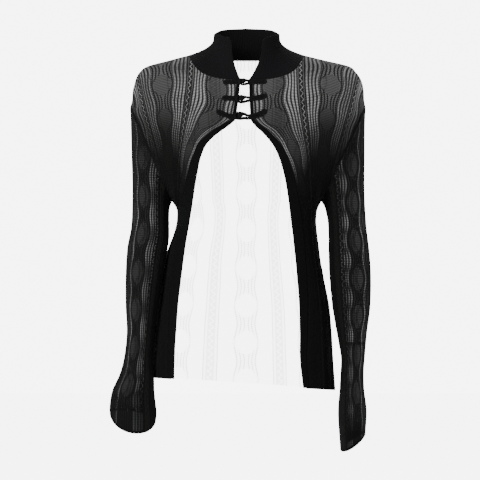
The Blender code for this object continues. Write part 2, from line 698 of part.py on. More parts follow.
def make_frogs():
    for number in range(len(FROGS["knot"])):
        frog = {name: float(values[number]) for name, values in FROGS.items()}
        line = cord_line(frog)
        make_knot_half(f"frog_{number + 1}_knot", frog, line)
        make_loop_half(f"frog_{number + 1}_loop", frog, line)


for old in list(bpy.data.objects):
    bpy.data.objects.remove(old, do_unlink=True)
jacket = bpy.data.collections.new("knit_jacket")
bpy.context.scene.collection.children.link(jacket)

make_cloth()
make_frogs()
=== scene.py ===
# %% [markdown]
# # Openwork knit jacket
# The looks of a fine black knit jacket, worn and hollow. Cloth physics could drape
# flat patterns into such a garment, but its worn outline is known, so every cloth
# piece is a grid of points on one smooth form instead. The knit's columns are lines
# of that grid: they fan out over the shoulders and run together towards the
# underarms, as they do on a body.

# %% Imports
import math

import bmesh
import bpy
import numpy as np
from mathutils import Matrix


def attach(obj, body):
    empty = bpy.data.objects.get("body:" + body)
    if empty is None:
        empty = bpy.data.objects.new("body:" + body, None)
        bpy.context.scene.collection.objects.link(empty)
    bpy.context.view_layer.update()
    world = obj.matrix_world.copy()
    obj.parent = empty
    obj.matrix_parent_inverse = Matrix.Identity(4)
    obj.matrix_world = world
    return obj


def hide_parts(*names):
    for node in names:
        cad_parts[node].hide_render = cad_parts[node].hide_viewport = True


print("Blender", bpy.app.version_string)

# %% [markdown]
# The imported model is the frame: every piece stands for one of its nodes and
# rides on its one body.

# %% Load the frame
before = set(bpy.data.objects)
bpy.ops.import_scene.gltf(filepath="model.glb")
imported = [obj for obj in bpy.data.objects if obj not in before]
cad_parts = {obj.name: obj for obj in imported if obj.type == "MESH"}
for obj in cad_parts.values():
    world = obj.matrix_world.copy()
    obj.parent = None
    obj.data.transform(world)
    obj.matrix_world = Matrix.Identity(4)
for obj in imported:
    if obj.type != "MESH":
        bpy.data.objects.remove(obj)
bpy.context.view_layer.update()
print("nodes in the frame:", len(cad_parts))

# %% [markdown]
# ## Measures
# Lengths are in metres. The front faces -Y, +X is the viewer's right, and the
# origin lies between the shoulders, level with the points of the neck. The grids
# are fine enough for the lace to stand out of them.

# %% Measures
FRONT, BACK = -1, 1
LEFT, RIGHT = -1, 1
SIDE_NAME = {LEFT: "left", RIGHT: "right"}
SEAM = 0.0003                 # pieces stay this far apart
UNDERARM = -0.268             # height of the underarm points
SEAM_TOP = -0.0945            # where the dropped shoulder seams end
CHEST = -0.120                # above this the body rounds over to the shoulders
CROWN = 0.014
NECK_HALF = 0.1070            # neck point to the middle
NECK_POINT = 0.002
ARMHOLE_FRONT, ARMHOLE_BACK = 0.066, 0.056
HEM_MIDDLE, HEM_SLOPE = -0.605, -0.068

LOWER_ROWS = 150              # hem to underarm
UPPER_ROWS = 104              # underarm to shoulder seam
NECK_COLUMNS, SHOULDER_COLUMNS = 66, 88
SLEEVE_ROWS, SLEEVE_COLUMNS = 250, 248
print("height of the armholes, mm:", round((SEAM_TOP - UNDERARM) * 1000))

# %% [markdown]
# A worn garment's lines are neither straight nor round. Each one is kept as a short
# table of places with a smooth curve through them. Blender's curve objects could
# draw such lines, but the grids need them read at any height, and a sum does that.

# %% Tables and curves
def table(heads, *rows):
    """Columns by name, from rows written side by side."""
    return {head: np.array(values) for head, values in zip(heads.split(), zip(*rows))}


def follow(rows, key, column, at):
    """A smooth curve through one column of a table, read at the given keys."""
    knots, values = rows[key], rows[column]
    slopes = np.gradient(values, knots)
    at = np.clip(at, knots[0], knots[-1])
    i = np.clip(np.searchsorted(knots, at, side="right") - 1, 0, len(knots) - 2)
    span = knots[i + 1] - knots[i]
    t = (at - knots[i]) / span
    ahead = t * t * (3 - 2 * t)
    return ((1 - ahead) * values[i] + ahead * values[i + 1]
            + span * t * (1 - t) * ((1 - t) * slopes[i] - t * slopes[i + 1]))


def ramp(value, start, end):
    """0 before start, 1 after end, soft between them."""
    t = np.clip((value - start) / (end - start), 0, 1)
    return t * t * (3 - 2 * t)


def spread(points, shares):
    """Points at the given shares of a line's length."""
    lengths = np.linalg.norm(np.diff(points, axis=0), axis=1)
    along = np.concatenate([[0], np.cumsum(lengths)])
    wanted = np.asarray(shares) * along[-1]
    return np.stack([np.interp(wanted, along, points[:, k])
                     for k in range(points.shape[1])], axis=1)


print("middle of a soft ramp:", float(ramp(0.5, 0, 1)))

# %% [markdown]
# ## The form
# The body is a stack of squarish ovals. Its side seams and shoulder line are given
# at chosen heights, and its depth is that of a worn chest of this width. Above the
# chest the ovals close over to the shoulders.

# %% The body
FRONT_BEND, BACK_BEND = 1.5, 2.2    # how squarely the shoulders round over
MOST_RATIO = 0.95             # keeps the sections at the armhole from running away

# distance from the middle to each side seam
SIDES = table("height left right",
              (-0.640, 0.184, 0.166),
              (-0.595, 0.181, 0.163),
              (-0.556, 0.1765, 0.1602),
              (-0.510, 0.172, 0.1577),
              (-0.460, 0.164, 0.153),
              (-0.404, 0.1555, 0.142),
              (-0.370, 0.150, 0.1362),
              (-0.350, 0.1430, 0.1338),
              (-0.328, 0.1345, 0.1310),
              (-0.298, 0.1285, 0.1292),
              (-0.280, 0.130, 0.1322),
              (UNDERARM, 0.1378, 0.1385))

# the shoulder line, from the end of the dropped shoulder up to the neck point
SHOULDER = table("height left right",
                 (SEAM_TOP, 0.2152, 0.2205),
                 (-0.084, 0.2122, 0.2182),
                 (-0.062, 0.2102, 0.2168),
                 (-0.051, 0.2074, 0.2148),
                 (-0.040, 0.2040, 0.2104),
                 (-0.029, 0.1975, 0.2024),
                 (-0.018, 0.1828, 0.1892),
                 (-0.0065, 0.1400, 0.1420),
                 (-0.0015, 0.1215, 0.1215),
                 (NECK_POINT, NECK_HALF, NECK_HALF))

# greatest depth of the body before and behind the shoulder line, and how
# square its sections are (2 is an ellipse)
BODY = table("height front back squareness",
             (-0.640, 0.112, 0.110, 2.3),
             (-0.540, 0.110, 0.107, 2.3),
             (-0.440, 0.103, 0.092, 2.3),
             (-0.350, 0.104, 0.086, 2.25),
             (UNDERARM, 0.116, 0.094, 2.1),
             (-0.200, 0.122, 0.102, 1.85),
             (-0.150, 0.117, 0.106, 1.8),
             (CHEST, 0.111, 0.106, 1.85),
             (0.020, 0.111, 0.106, 2.1))


def armhole(side, share):
    """Place and height on the shoulder seam, 0 at the underarm and 1 at its top."""
    name = SIDE_NAME[side]
    under, top = SIDES[name][-1], SHOULDER[name][0]
    return under + (top - under) * share, UNDERARM + (SEAM_TOP - UNDERARM) * share


def depth_at(height, face):
    """Greatest depth of the body at a height, closing at the crown."""
    full = follow(BODY, "height", "front" if face == FRONT else "back", height)
    over = np.clip((height - CHEST) / (CROWN - CHEST), 0, 1)
    bend = FRONT_BEND if face == FRONT else BACK_BEND
    return full * (1 - over ** bend) ** (1 / bend)


def reach_at(height, side, face):
    """How far the body's section would reach sideways at a height."""
    name = SIDE_NAME[side]
    squareness = follow(BODY, "height", "squareness", height)
    share = np.clip((height - UNDERARM) / (SEAM_TOP - UNDERARM), 0, 1)
    seam_place, _ = armhole(side, share)
    bulge = ARMHOLE_FRONT if face == FRONT else ARMHOLE_BACK
    seam_depth = bulge * np.sqrt(np.clip(1 - (1 - 2 * share) ** 2, 0, 1))
    ratio = np.clip(seam_depth / depth_at(height, face), 0, MOST_RATIO)
    beyond = seam_place / (1 - ratio ** squareness) ** (1 / squareness)
    below = follow(SIDES, "height", name, height)
    above = follow(SHOULDER, "height", name, height)
    return np.where(height <= UNDERARM, below,
                    np.where(height >= SEAM_TOP, above, beyond))


print("depth of the body at the chest, mm:",
      [round(float(depth_at(CHEST, face)) * 1000) for face in (FRONT, BACK)])

# %% [markdown]
# Worn cloth isn't smooth: a few soft folds fall towards the hem. They could be
# sculpted, but as rows of a table each one can be placed and tuned by itself.
# `cloth_depth` says how far in front of or behind the shoulder line the cloth lies.

# %% Folds and the cloth's depth
# soft drape folds: place, half width, depth, and the heights between which
# each one grows in (a fold shows on one face only)
FOLDS = table("face place half_width depth starts full",
              (FRONT, -0.158, 0.012, -0.0030, -0.40, -0.56),
              (FRONT, 0.130, 0.011, -0.0030, -0.42, -0.58),
              (BACK, -0.115, 0.020, -0.0060, -0.30, -0.56),
              (BACK, -0.040, 0.024, -0.0050, -0.34, -0.58),
              (BACK, 0.050, 0.022, -0.0060, -0.32, -0.57),
              (BACK, 0.118, 0.018, -0.0050, -0.30, -0.58))


def cloth_depth(x, height, side, face):
    """Y of the cloth's outer face, in front of or behind the shoulder line."""
    squareness = follow(BODY, "height", "squareness", height)
    ratio = np.clip(np.abs(x) / reach_at(height, side, face), 0, 1)
    swell = (1 - ratio ** squareness) ** (1 / squareness)
    y = face * (SEAM / 2 + depth_at(height, face) * swell)
    for shown, place, half, deep, starts, full in zip(*FOLDS.values()):
        if shown == face:
            grown = 1 - ramp(height, full, starts)
            y = y + face * deep * grown * swell * np.exp(-((x - place) / half) ** 2)
    return y


print("cloth at the underarm, mm:",
      [round(float(cloth_depth(0.0, UNDERARM, LEFT, face)) * 1000) for face in (FRONT, BACK)])

# %% [markdown]
# The fronts meet at the neck and are cut away below the third frog. A dense band
# runs along each front edge, and the hem hangs a little lower on one side.

# %% Front edges, bands and hem
# front edges, from the middle: closed above the third frog, then cut away
EDGES = table("height left right",
              (-0.640, 0.1335, 0.1085),
              (-0.600, 0.1337, 0.1034),
              (-0.5615, 0.1333, 0.0992),
              (-0.506, 0.1302, 0.0988),
              (-0.4505, 0.1260, 0.0970),
              (-0.395, 0.1192, 0.0925),
              (-0.3506, 0.1134, 0.0882),
              (-0.3062, 0.1060, 0.0828),
              (-0.2618, 0.0984, 0.0770),
              (-0.2174, 0.0910, 0.0688),
              (-0.184, 0.0832, 0.0586),
              (-0.162, 0.0728, 0.0472),
              (-0.151, 0.0625, 0.0382),
              (-0.140, 0.0490, 0.0280),
              (-0.1286, 0.0328, 0.0155),
              (-0.117, 0.0200, 0.0072),
              (-0.106, 0.0184, 0.0066),
              (-0.075, 0.0143, 0.0052),
              (-0.043, 0.0108, 0.0040))

# width of the front bands
BANDS = table("height width",
              (-0.640, 0.011), (-0.150, 0.011), (-0.115, 0.0065), (-0.040, 0.0065))


def hem(x):
    return HEM_MIDDLE + HEM_SLOPE * x


def edge_at(side, height, inside=0.0):
    """Place of the front edge at a height, or of a line a width inside it."""
    name = SIDE_NAME[side]
    step = 0.001
    place = follow(EDGES, "height", name, height)
    slope = (follow(EDGES, "height", name, height + step) - place) / step
    return side * (place + inside * np.sqrt(1 + slope ** 2))


def band_width(height):
    return follow(BANDS, "height", "width", height)


print("gap between the fronts at the hem, mm:",
      round(float(edge_at(RIGHT, HEM_MIDDLE) - edge_at(LEFT, HEM_MIDDLE)) * 1000))

# %% [markdown]
# A panel is knitted upwards from its hem. Half of the body is one grid: rows run
# from the hem to the shoulder and columns from the middle out. A subdivided rough
# shape would need fewer lines, but its edges would not follow the knit.

# %% Neckline
# neckline: height at each distance from the middle
NECK_FRONT = table("reach height",
                   (0.000, -0.0432), (0.020, -0.0426), (0.040, -0.0410),
                   (0.062, -0.0366), (0.077, -0.0316), (0.094, -0.0185),
                   (NECK_HALF, NECK_POINT))
NECK_BACK = table("reach height",
                  (0.000, -0.0065), (0.050, -0.0060), (0.090, -0.0035),
                  (NECK_HALF, NECK_POINT))
print("depth of the front neckline, mm:", round((NECK_POINT - NECK_FRONT["height"][0]) * 1000))

# %% Panel grid
SECTION_ROUNDS = 4            # rounds in which a sloping row finds its heights
EDGE_SAMPLES, NECK_SAMPLES, RIDGE_SAMPLES = 300, 200, 600


def half_panel(side, face):
    """Half of the body: rows from hem to shoulder, columns from the middle out."""
    columns = NECK_COLUMNS + SHOULDER_COLUMNS
    neck_heights = NECK_FRONT if face == FRONT else NECK_BACK

    def middle(height):
        if face == BACK:
            return np.zeros_like(height)
        return edge_at(side, height, band_width(height) + SEAM)

    def section(share, height):
        reach = reach_at(height, side, face)
        start = np.arcsin(np.clip(np.abs(middle(height)) / reach, 0, 1))
        return side * reach * np.sin(start + (math.pi / 2 - start) * share)

    share = np.linspace(0, 1, columns + 1)
    lower = []
    for climb in np.linspace(0, 1, LOWER_ROWS + 1):
        x = section(share, np.full(columns + 1, HEM_MIDDLE))
        for _ in range(SECTION_ROUNDS):
            height = hem(x) + (UNDERARM - hem(x)) * climb
            x = section(share, height)
        lower.append(np.stack([x, height], axis=1))

    neck_start = float(follow(neck_heights, "reach", "height", 0.0))
    rise = np.linspace(UNDERARM, neck_start, EDGE_SAMPLES)
    inner_line = np.stack([middle(rise), rise], axis=1)
    reach = np.linspace(abs(inner_line[-1, 0]), NECK_HALF, NECK_SAMPLES)
    neck = np.stack([side * reach, follow(neck_heights, "reach", "height", reach)], axis=1)
    fall = NECK_POINT + (SEAM_TOP - NECK_POINT) * np.linspace(0, 1, RIDGE_SAMPLES) ** 2
    ridge = np.stack([side * follow(SHOULDER, "height", SIDE_NAME[side], fall), fall], axis=1)
    ridge = spread(ridge, np.linspace(0, 1, SHOULDER_COLUMNS + 1))
    top = np.concatenate([spread(neck, np.linspace(0, 1, NECK_COLUMNS + 1)), ridge[1:]])
    bottom = lower[-1]
    u = share[:, None]
    upper = []
    for t in np.linspace(0, 1, UPPER_ROWS + 1)[1:]:
        climb = (1 - math.cos(math.pi * t)) / 2
        inner = spread(inner_line, [t])[0]
        place, height = armhole(side, climb)
        outer = np.array([side * place, height])
        upper.append((1 - climb) * bottom + climb * top + (1 - u) * inner + u * outer
                     - (1 - u) * ((1 - climb) * bottom[0] + climb * top[0])
                     - u * ((1 - climb) * bottom[-1] + climb * top[-1]))
    plane = np.array(lower + upper)
    x, height = plane[..., 0], plane[..., 1]
    return np.stack([x, cloth_depth(x, height, side, face), height], axis=-1)


fronts = {side: half_panel(side, FRONT) for side in (LEFT, RIGHT)}
backs = {side: half_panel(side, BACK) for side in (LEFT, RIGHT)}
back_grid = np.concatenate([backs[LEFT][:, ::-1], backs[RIGHT][:, 1:]], axis=1)
print("front panel's grid:", fronts[LEFT].shape[:2])

# %% [markdown]
# A sleeve is one knitted tube, set into the armhole and belled at the cuff. A bent
# cylinder in a lattice could give that shape, but its two edges are known at each
# height, so it is a stack of rings. Columns are counted round from the outer side,
# over the front first.

# %% Sleeve rings
# sleeves: outer and inner edge of each ring as seen from the front, how far it
# reaches forwards and back, and how much lower its front hangs
SLEEVES = {
    LEFT: table(
        "station outer outer_height inner inner_height front back droop",
        (0, 0.2152, SEAM_TOP, 0.1378, UNDERARM, ARMHOLE_FRONT, ARMHOLE_BACK, 0),
        (1, 0.2142, -0.127, 0.1412, -0.2785, 0.0600, 0.0470, 0),
        (2, 0.2128, -0.182, 0.1422, -0.2914, 0.0545, 0.0360, 0),
        (3, 0.2112, -0.247, 0.1424, -0.3117, 0.0550, 0.0290, 0),
        (4, 0.2130, -0.312, 0.1424, -0.3358, 0.0600, 0.0200, 0),
        (5, 0.2205, -0.354, 0.1462, -0.3617, 0.0690, 0.0090, 0),
        (6, 0.2234, -0.404, 0.1535, -0.4042, 0.0735, 0.0015, 0),
        (7, 0.2234, -0.460, 0.1619, -0.4597, 0.0745, -0.0060, 0),
        (8, 0.2213, -0.510, 0.1686, -0.5097, 0.0725, -0.0160, 0),
        (9, 0.2262, -0.556, 0.1722, -0.5559, 0.0725, -0.0235, 0.001),
        (10, 0.2345, -0.587, 0.1700, -0.5890, 0.0755, -0.0265, 0.004),
        (11, 0.2480, -0.617, 0.1690, -0.6210, 0.0790, -0.0290, 0.010),
        (12, 0.2530, -0.646, 0.1652, -0.6550, 0.0820, -0.0320, 0.020),
        (13, 0.2525, -0.659, 0.1662, -0.6700, 0.0825, -0.0325, 0.031)),
    RIGHT: table(
        "station outer outer_height inner inner_height front back droop",
        (0, 0.2205, SEAM_TOP, 0.1385, UNDERARM, ARMHOLE_FRONT, ARMHOLE_BACK, 0),
        (1, 0.2192, -0.130, 0.1430, -0.2765, 0.0600, 0.0470, 0),
        (2, 0.2188, -0.186, 0.1462, -0.2870, 0.0540, 0.0360, 0),
        (3, 0.2185, -0.251, 0.1496, -0.3062, 0.0530, 0.0300, 0),
        (4, 0.2218, -0.312, 0.1510, -0.3321, 0.0550, 0.0245, 0),
        (5, 0.2272, -0.358, 0.1510, -0.3617, 0.0590, 0.0190, 0),
        (6, 0.2303, -0.404, 0.1526, -0.4042, 0.0630, 0.0130, 0),
        (7, 0.2292, -0.460, 0.1576, -0.4597, 0.0650, 0.0050, 0),
        (8, 0.2230, -0.510, 0.1659, -0.5097, 0.0655, -0.0030, 0),
        (9, 0.2188, -0.556, 0.1738, -0.5559, 0.0670, -0.0090, 0),
        (10, 0.2168, -0.586, 0.1728, -0.5855, 0.0720, -0.0100, 0),
        (11, 0.2178, -0.617, 0.1712, -0.6170, 0.0790, -0.0090, 0),
        (12, 0.2222, -0.654, 0.1682, -0.6595, 0.0870, -0.0060, 0.006),
        (13, 0.2200, -0.697, 0.1722, -0.7255, 0.0900, -0.0080, 0.011)),
}
print("sleeve rings:", [len(rows["station"]) for rows in SLEEVES.values()])

# %% Sleeve grid
REAR_DROOP = 0.3              # how much the rear of a ring rises as its front droops
FREE_RING = 3                 # from here on the sleeve hangs free of the body


def sleeve_grid(side):
    """Rings from the armhole to the cuff, first and last column the same line."""
    rows = SLEEVES[side]
    turn = np.linspace(0, 2 * math.pi, SLEEVE_COLUMNS + 1)
    share, swing = (1 + np.cos(turn)) / 2, np.sin(turn)
    grid = []
    for station in np.linspace(0, rows["station"][-1], SLEEVE_ROWS + 1):
        ring = {name: follow(rows, "station", name, station) for name in rows}
        place = ring["inner"] + (ring["outer"] - ring["inner"]) * share
        height = ring["inner_height"] + (ring["outer_height"] - ring["inner_height"]) * share
        height = height - ring["droop"] * np.where(swing > 0, swing, REAR_DROOP * swing)
        seam_y = -swing * np.where(swing > 0, ring["front"], ring["back"])
        free_y = (ring["back"] - ring["front"]) / 2 - swing * (ring["back"] + ring["front"]) / 2
        freed = ramp(station, 0, FREE_RING)
        grid.append(np.stack([side * place, seam_y + (free_y - seam_y) * freed, height], axis=1))
    return np.array(grid)[::-1]


sleeves = {side: sleeve_grid(side) for side in (LEFT, RIGHT)}
print("sleeve grid:", sleeves[LEFT].shape[:2])

# %% [markdown]
# ## The lace
# One repeat of the knit is a column of leaf shapes, a ladder on each side of it and
# a dense twisted column with single eyelets. A picture of lace laid on the cloth
# would blur close up, so the lace is worked out with sums. They serve twice: with
# numbers they raise the cloth's points, and with shader values they cut its holes.
# `Wire` lets a shader value stand in such sums; each sum adds one Math node.

# %% Sums for numbers and for shader values
class Wire:
    """A shader value; arithmetic on it adds Math nodes to its tree."""

    def __init__(self, socket):
        self.socket = socket

    def node(self, kind, inputs, **settings):
        tree = self.socket.id_data
        made = tree.nodes.new(kind)
        for name, value in settings.items():
            setattr(made, name, value)
        for slot, value in inputs.items():
            if isinstance(value, Wire):
                tree.links.new(value.socket, made.inputs[slot])
            else:
                made.inputs[slot].default_value = value
        return Wire(made.outputs[0])

    def math(self, operation, *others):
        return self.node("ShaderNodeMath", dict(enumerate((self, *others))), operation=operation)

    def __add__(self, other):
        return self.math("ADD", other)

    def __sub__(self, other):
        return self.math("SUBTRACT", other)

    def __mul__(self, other):
        return self.math("MULTIPLY", other)

    def __truediv__(self, other):
        return self.math("DIVIDE", other)

    def __rsub__(self, other):
        return self.math("MULTIPLY_ADD", -1.0, other)

    def __abs__(self):
        return self.math("ABSOLUTE")

    __radd__ = __add__
    __rmul__ = __mul__


def cosine(value):
    return value.math("COSINE") if isinstance(value, Wire) else np.cos(value)


def fraction(value):
    return value.math("FRACT") if isinstance(value, Wire) else value - np.floor(value)


def root(value):
    if isinstance(value, Wire):
        return value.math("MAXIMUM", 0.0).math("SQRT")
    return np.sqrt(np.maximum(value, 0))


def smaller(a, b):
    return a.math("MINIMUM", b) if isinstance(a, Wire) else np.minimum(a, b)


def rise(value, start, end):
    """0 before start and 1 after end, soft between; start may be the larger."""
    if isinstance(value, Wire):
        return value.node("ShaderNodeMapRange", {0: value, 1: start, 2: end},
                          interpolation_type="SMOOTHSTEP")
    return ramp(value, start, end)


def near(value, place, half, soft):
    """1 within half of place, 0 further off."""
    return rise(abs(value - place), half + soft, half)


print("root of 9 with plain numbers:", float(root(9.0)))

# %% [markdown]
# `lace` reads `u`, the repeats across, and `v`, the metres along, with a leaf's
# middle at v = 0. It returns how open the cloth is and how far it stands out.
# Openings are shares of the cloth's area, softened over a stitch or two.

# %% Sizes of the lace
LEAF_PITCH = 0.070            # along, from leaf to leaf
LEAF_HALF = 0.155             # half width of a leaf, in repeats
LEAF_REACH = 0.45             # how far its ends reach into the space between leaves
FULL_BOW = 0.015              # the leaves are whole from this bow on
LADDER_START, LADDER_END = 0.168, 0.396   # the ladder columns, in repeats
LADDER_PITCH = 0.057          # from column to column of a ladder
LADDER_SOFT = 0.006           # softness of its edges
RUNG_PITCH = 0.0031           # along, from rung to rung
BAR_PITCH = 0.0033            # the bars across a leaf
OUTLINE_OUT, OUTLINE_HALF, OUTLINE_SOFT = 0.010, 0.006, 0.010   # the rim of a leaf
KNOTTED_START, KNOTTED_FULL = 0.440, 0.452   # where the knotted columns begin
DOT_PITCH = 0.0125            # the eyelets sway across the knotted columns
DOT_SWAY = 0.026              # by this much, in repeats
LINES = 20                    # columns of fine eyelets in one repeat
EYELET_PITCH = 0.0042         # along, from fine eyelet to fine eyelet
WALES = 40                    # knit columns in one repeat
DRIFT_ALONG, DRIFT_ACROSS = 33, 2.6   # the ladders' brightness drifts slowly
DRIFT = 0.24                  # by this share each way

# how open each part is: its ground first, then what its own holes add
PLAIN_OPEN, LINE_OPEN = 0.06, 1.00
LEAF_OPEN, BAR_OPEN = 0.18, 0.50
OUTLINE_OPEN, KNOTTED_OPEN, LADDER_OPEN = 0.10, 0.08, 0.12
WINDOW_OPEN, DOT_OPEN = 0.88, 0.70
MOST_OPEN = 0.92

# how far each part stands out, and what its bars add or its holes take off
OUTLINE_RISE, HOLE_DIP = 0.8, 0.1
LADDER_RISE, WINDOW_DIP = 0.5, 0.7
LEAF_RISE, BAR_RISE = 0.25, 0.15
KNOTTED_RISE, DOT_DIP = 1, 0.9
PLAIN_RISE, LINE_DIP = 0.2, 0.3
print("stitches across a repeat:", WALES)


# %% The lace pattern
def leaf_and_column(u, v, bow):
    """Distance from the leaves' middle line, a leaf's half width there, and the same
    distance measured along columns that bow out round each leaf. No bow, no leaf."""
    across = abs(fraction(u + 0.5) - 0.5)
    swell = cosine(v * (2 * math.pi / LEAF_PITCH))
    leaf_half = (root((swell + LEAF_REACH) / (1 + LEAF_REACH)) * rise(bow, 0, FULL_BOW)
                 * LEAF_HALF)
    return across, leaf_half, across - swell * bow * rise(across, 0.45, 0.10)


def stripe(value, half, soft):
    """1 about the middle of each whole step of a value, 0 between."""
    return near(fraction(value), 0.5, half, soft)


def lace(u, v, mesh_share, bow):
    """How open the cloth is, and how far it stands out."""
    across, leaf_half, column = leaf_and_column(u, v, bow)
    leaf = rise(leaf_half - across, 0.004, 0.016)
    outline = (near(across, leaf_half + OUTLINE_OUT, OUTLINE_HALF, OUTLINE_SOFT)
               * rise(leaf_half, 0.02, 0.06) * 0.75)
    ladder = (rise(column, LADDER_START, LADDER_START + LADDER_SOFT)
              * rise(column, LADDER_END, LADDER_END - LADDER_SOFT))
    windows = stripe((column - LADDER_START) / LADDER_PITCH, 0.17, 0.17)
    rungs = stripe(v / RUNG_PITCH, 0.12, 0.16)
    bars = stripe(v / BAR_PITCH, 0.20, 0.22)
    drop = rise(cosine(column * (math.pi * LINES)), -0.1, 0.1) * 0.5
    lines = stripe(column * LINES, 0.16, 0.24) * stripe(v / EYELET_PITCH + drop, 0.20, 0.24)
    drift = cosine(v * DRIFT_ALONG + u * DRIFT_ACROSS) * DRIFT + (1 - DRIFT)
    knotted = rise(column, KNOTTED_START, KNOTTED_FULL)
    sway = cosine(v * (2 * math.pi / DOT_PITCH))
    dots = near(fraction(u) - sway * DOT_SWAY, 0.5, 0.008, 0.012) * (1 - rungs)
    plain = (1 - ladder) * (1 - outline) * (1 - leaf) * (1 - knotted)
    sheer = (plain * (lines * LINE_OPEN + PLAIN_OPEN) + leaf * (bars * BAR_OPEN + LEAF_OPEN)
             + outline * OUTLINE_OPEN + knotted * KNOTTED_OPEN
             + ladder * LADDER_OPEN) * mesh_share
    holes = smaller(ladder * windows * (1 - rungs) * drift * WINDOW_OPEN
                    + knotted * dots * DOT_OPEN + sheer, MOST_OPEN)
    height = (outline * OUTLINE_RISE + ladder * (LADDER_RISE - windows * WINDOW_DIP)
              + leaf * (LEAF_RISE + bars * BAR_RISE) + knotted * (KNOTTED_RISE - dots * DOT_DIP)
              + plain * (PLAIN_RISE - lines * LINE_DIP) - holes * HOLE_DIP)
    return holes, height


repeat_u, repeat_v = np.meshgrid(np.linspace(0, 1, 400), np.linspace(0, LEAF_PITCH, 400))
repeat_holes, _ = lace(repeat_u, repeat_v, 1.0, 0.02)
print("share of a repeat that is open:", round(float(repeat_holes.mean()), 3))

# %% [markdown]
# ## Building cloth
# `surface` turns a grid of points into one mesh with the knit's own coordinates.
# Three values are stored on each point: how open the lace is there, how sheer its
# mesh is and how far its columns bow round the leaves. A plane shaped by modifiers
# would have to be measured again to get the same, so the mesh is made directly.

# %% Measuring a grid
def unit(vectors):
    return vectors / np.linalg.norm(vectors, axis=-1, keepdims=True)


def normals_of(grid, closed=False):
    """Unit normals of a grid; in a closed one the first and last columns agree."""
    if closed:
        ring = np.concatenate([grid[:, -2:-1], grid, grid[:, 1:2]], axis=1)
        across = np.gradient(ring, axis=1)[:, 1:-1]
    else:
        across = np.gradient(grid, axis=1)
    return unit(np.cross(across, np.gradient(grid, axis=0)))


def steps(grid, axis):
    """Length run along an axis of a grid, from its first row or column."""
    lengths = np.linalg.norm(np.diff(grid, axis=axis), axis=-1)
    run = np.cumsum(lengths, axis=axis)
    return np.concatenate([np.zeros_like(run[:1] if axis == 0 else run[:, :1]), run], axis=axis)


print("a unit normal:", unit(np.array([0.0, -2.0, 0.0])))


# %% Making a mesh from a grid
def quads(rows, columns):
    """The faces of a grid of points, and the place of each point."""
    place = np.arange(rows * columns).reshape(rows, columns)
    corners = [place[:-1, :-1], place[:-1, 1:], place[1:, 1:], place[1:, :-1]]
    return np.stack(corners, axis=-1).reshape(-1, 4), place


def knit_mesh(name, points, faces, u, v, shape):
    """A mesh whose every layer of points has the grid's knit coordinates."""
    mesh = bpy.data.meshes.new(name)
    mesh.from_pydata(points.reshape(-1, 3).tolist(), [], faces.tolist())
    knit = np.stack([np.broadcast_to(u, shape), np.broadcast_to(v, shape)], axis=-1)
    knit = knit.reshape(-1, 2)
    layer = mesh.uv_layers.new(name="knit")
    layer.data.foreach_set("uv", knit[faces.ravel() % len(knit)].ravel().astype(np.float32))
    return mesh


def placed(name, mesh, finish):
    """The mesh in its finish, smooth, as an object of the scene."""
    mesh.shade_smooth()
    mesh.materials.append(finish)
    piece = bpy.data.objects.new(name, mesh)
    bpy.context.scene.collection.objects.link(piece)
    return piece


def surface(name, grid, u, v, values, finish):
    """One layer of cloth from a grid, with its values stored on the points."""
    shape = grid.shape[:2]
    faces, _ = quads(*shape)
    mesh = knit_mesh(name, grid, faces, u, v, shape)
    for key, value in values.items():
        data = mesh.attributes.new(key, "FLOAT", "POINT").data
        data.foreach_set("value", np.broadcast_to(value, shape).ravel().astype(np.float32))
    return placed(name, mesh, finish)


def triangles(piece):
    return 2 * len(piece.data.polygons)


print("faces of a grid of 3 by 4 points:", len(quads(3, 4)[0]))


# %% Handing a piece to the frame
def finish_piece(piece, node):
    """The piece stands for its node and rides on the one body."""
    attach(piece, "root")
    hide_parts(node)
    return piece


def joined(parts, name):
    """Several meshes as one piece."""
    bpy.ops.object.select_all(action="DESELECT")
    for part in parts:
        part.select_set(True)
    bpy.context.view_layer.objects.active = parts[0]
    if len(parts) > 1:
        bpy.ops.object.join()
    parts[0].name = name
    return parts[0]


print("pieces to make:", len(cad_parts))

# %% [markdown]
# ## Finishes
# The jacket is one fine yarn, knitted three ways: as lace, as rib and as a tight
# band. The lace and the rib are shared node groups that give how closed the cloth
# is, its height and a painted shade, lighter on the raised stitches and darker in
# the hollows between them. Separate textures would repeat the same nodes in every
# finish. Each material adds the yarn: near black, matt, with a faint sheen.

# %% Node groups for the knit
STITCH = 0.0022               # length of a stitch
SLANT = 1.4                   # how steeply its two legs run


def make_group(name, inputs, outputs):
    group = bpy.data.node_groups.new(name, "ShaderNodeTree")
    for socket in inputs:
        group.interface.new_socket(socket, in_out="INPUT", socket_type="NodeSocketFloat")
    for socket in outputs:
        group.interface.new_socket(socket, in_out="OUTPUT", socket_type="NodeSocketFloat")
    source = group.nodes.new("NodeGroupInput")
    sink = group.nodes.new("NodeGroupOutput")
    return group, {socket: Wire(source.outputs[socket]) for socket in inputs}, sink


def stitches(u, v):
    """The V shapes of plain knit: u counts columns, v is metres along."""
    wale = abs(fraction(u) - 0.5)
    slant = fraction(v / STITCH + wale * SLANT)
    return (1 - abs(slant - 0.5) * 2) * 0.45 + near(wale, 0.24, 0.10, 0.16) * 0.55


lace_group, given, sink = make_group("knit_lace", ["U", "V", "Open", "Sheer", "Bow"],
                                     ["Cover", "Height", "PaintedShade"])
holes, height = lace(given["U"], given["V"], given["Sheer"], given["Bow"])
cover = 1 - holes * given["Open"]
loops = stitches(given["U"] * WALES, given["V"])
# the shade output paints light and shade: raised lace and loops lighter, the hollows darker
for socket, value in (("Cover", cover), ("Height", height + loops * 0.35),
                      ("PaintedShade", height * 0.5 + loops * 0.3)):
    lace_group.links.new(value.socket, sink.inputs[socket])

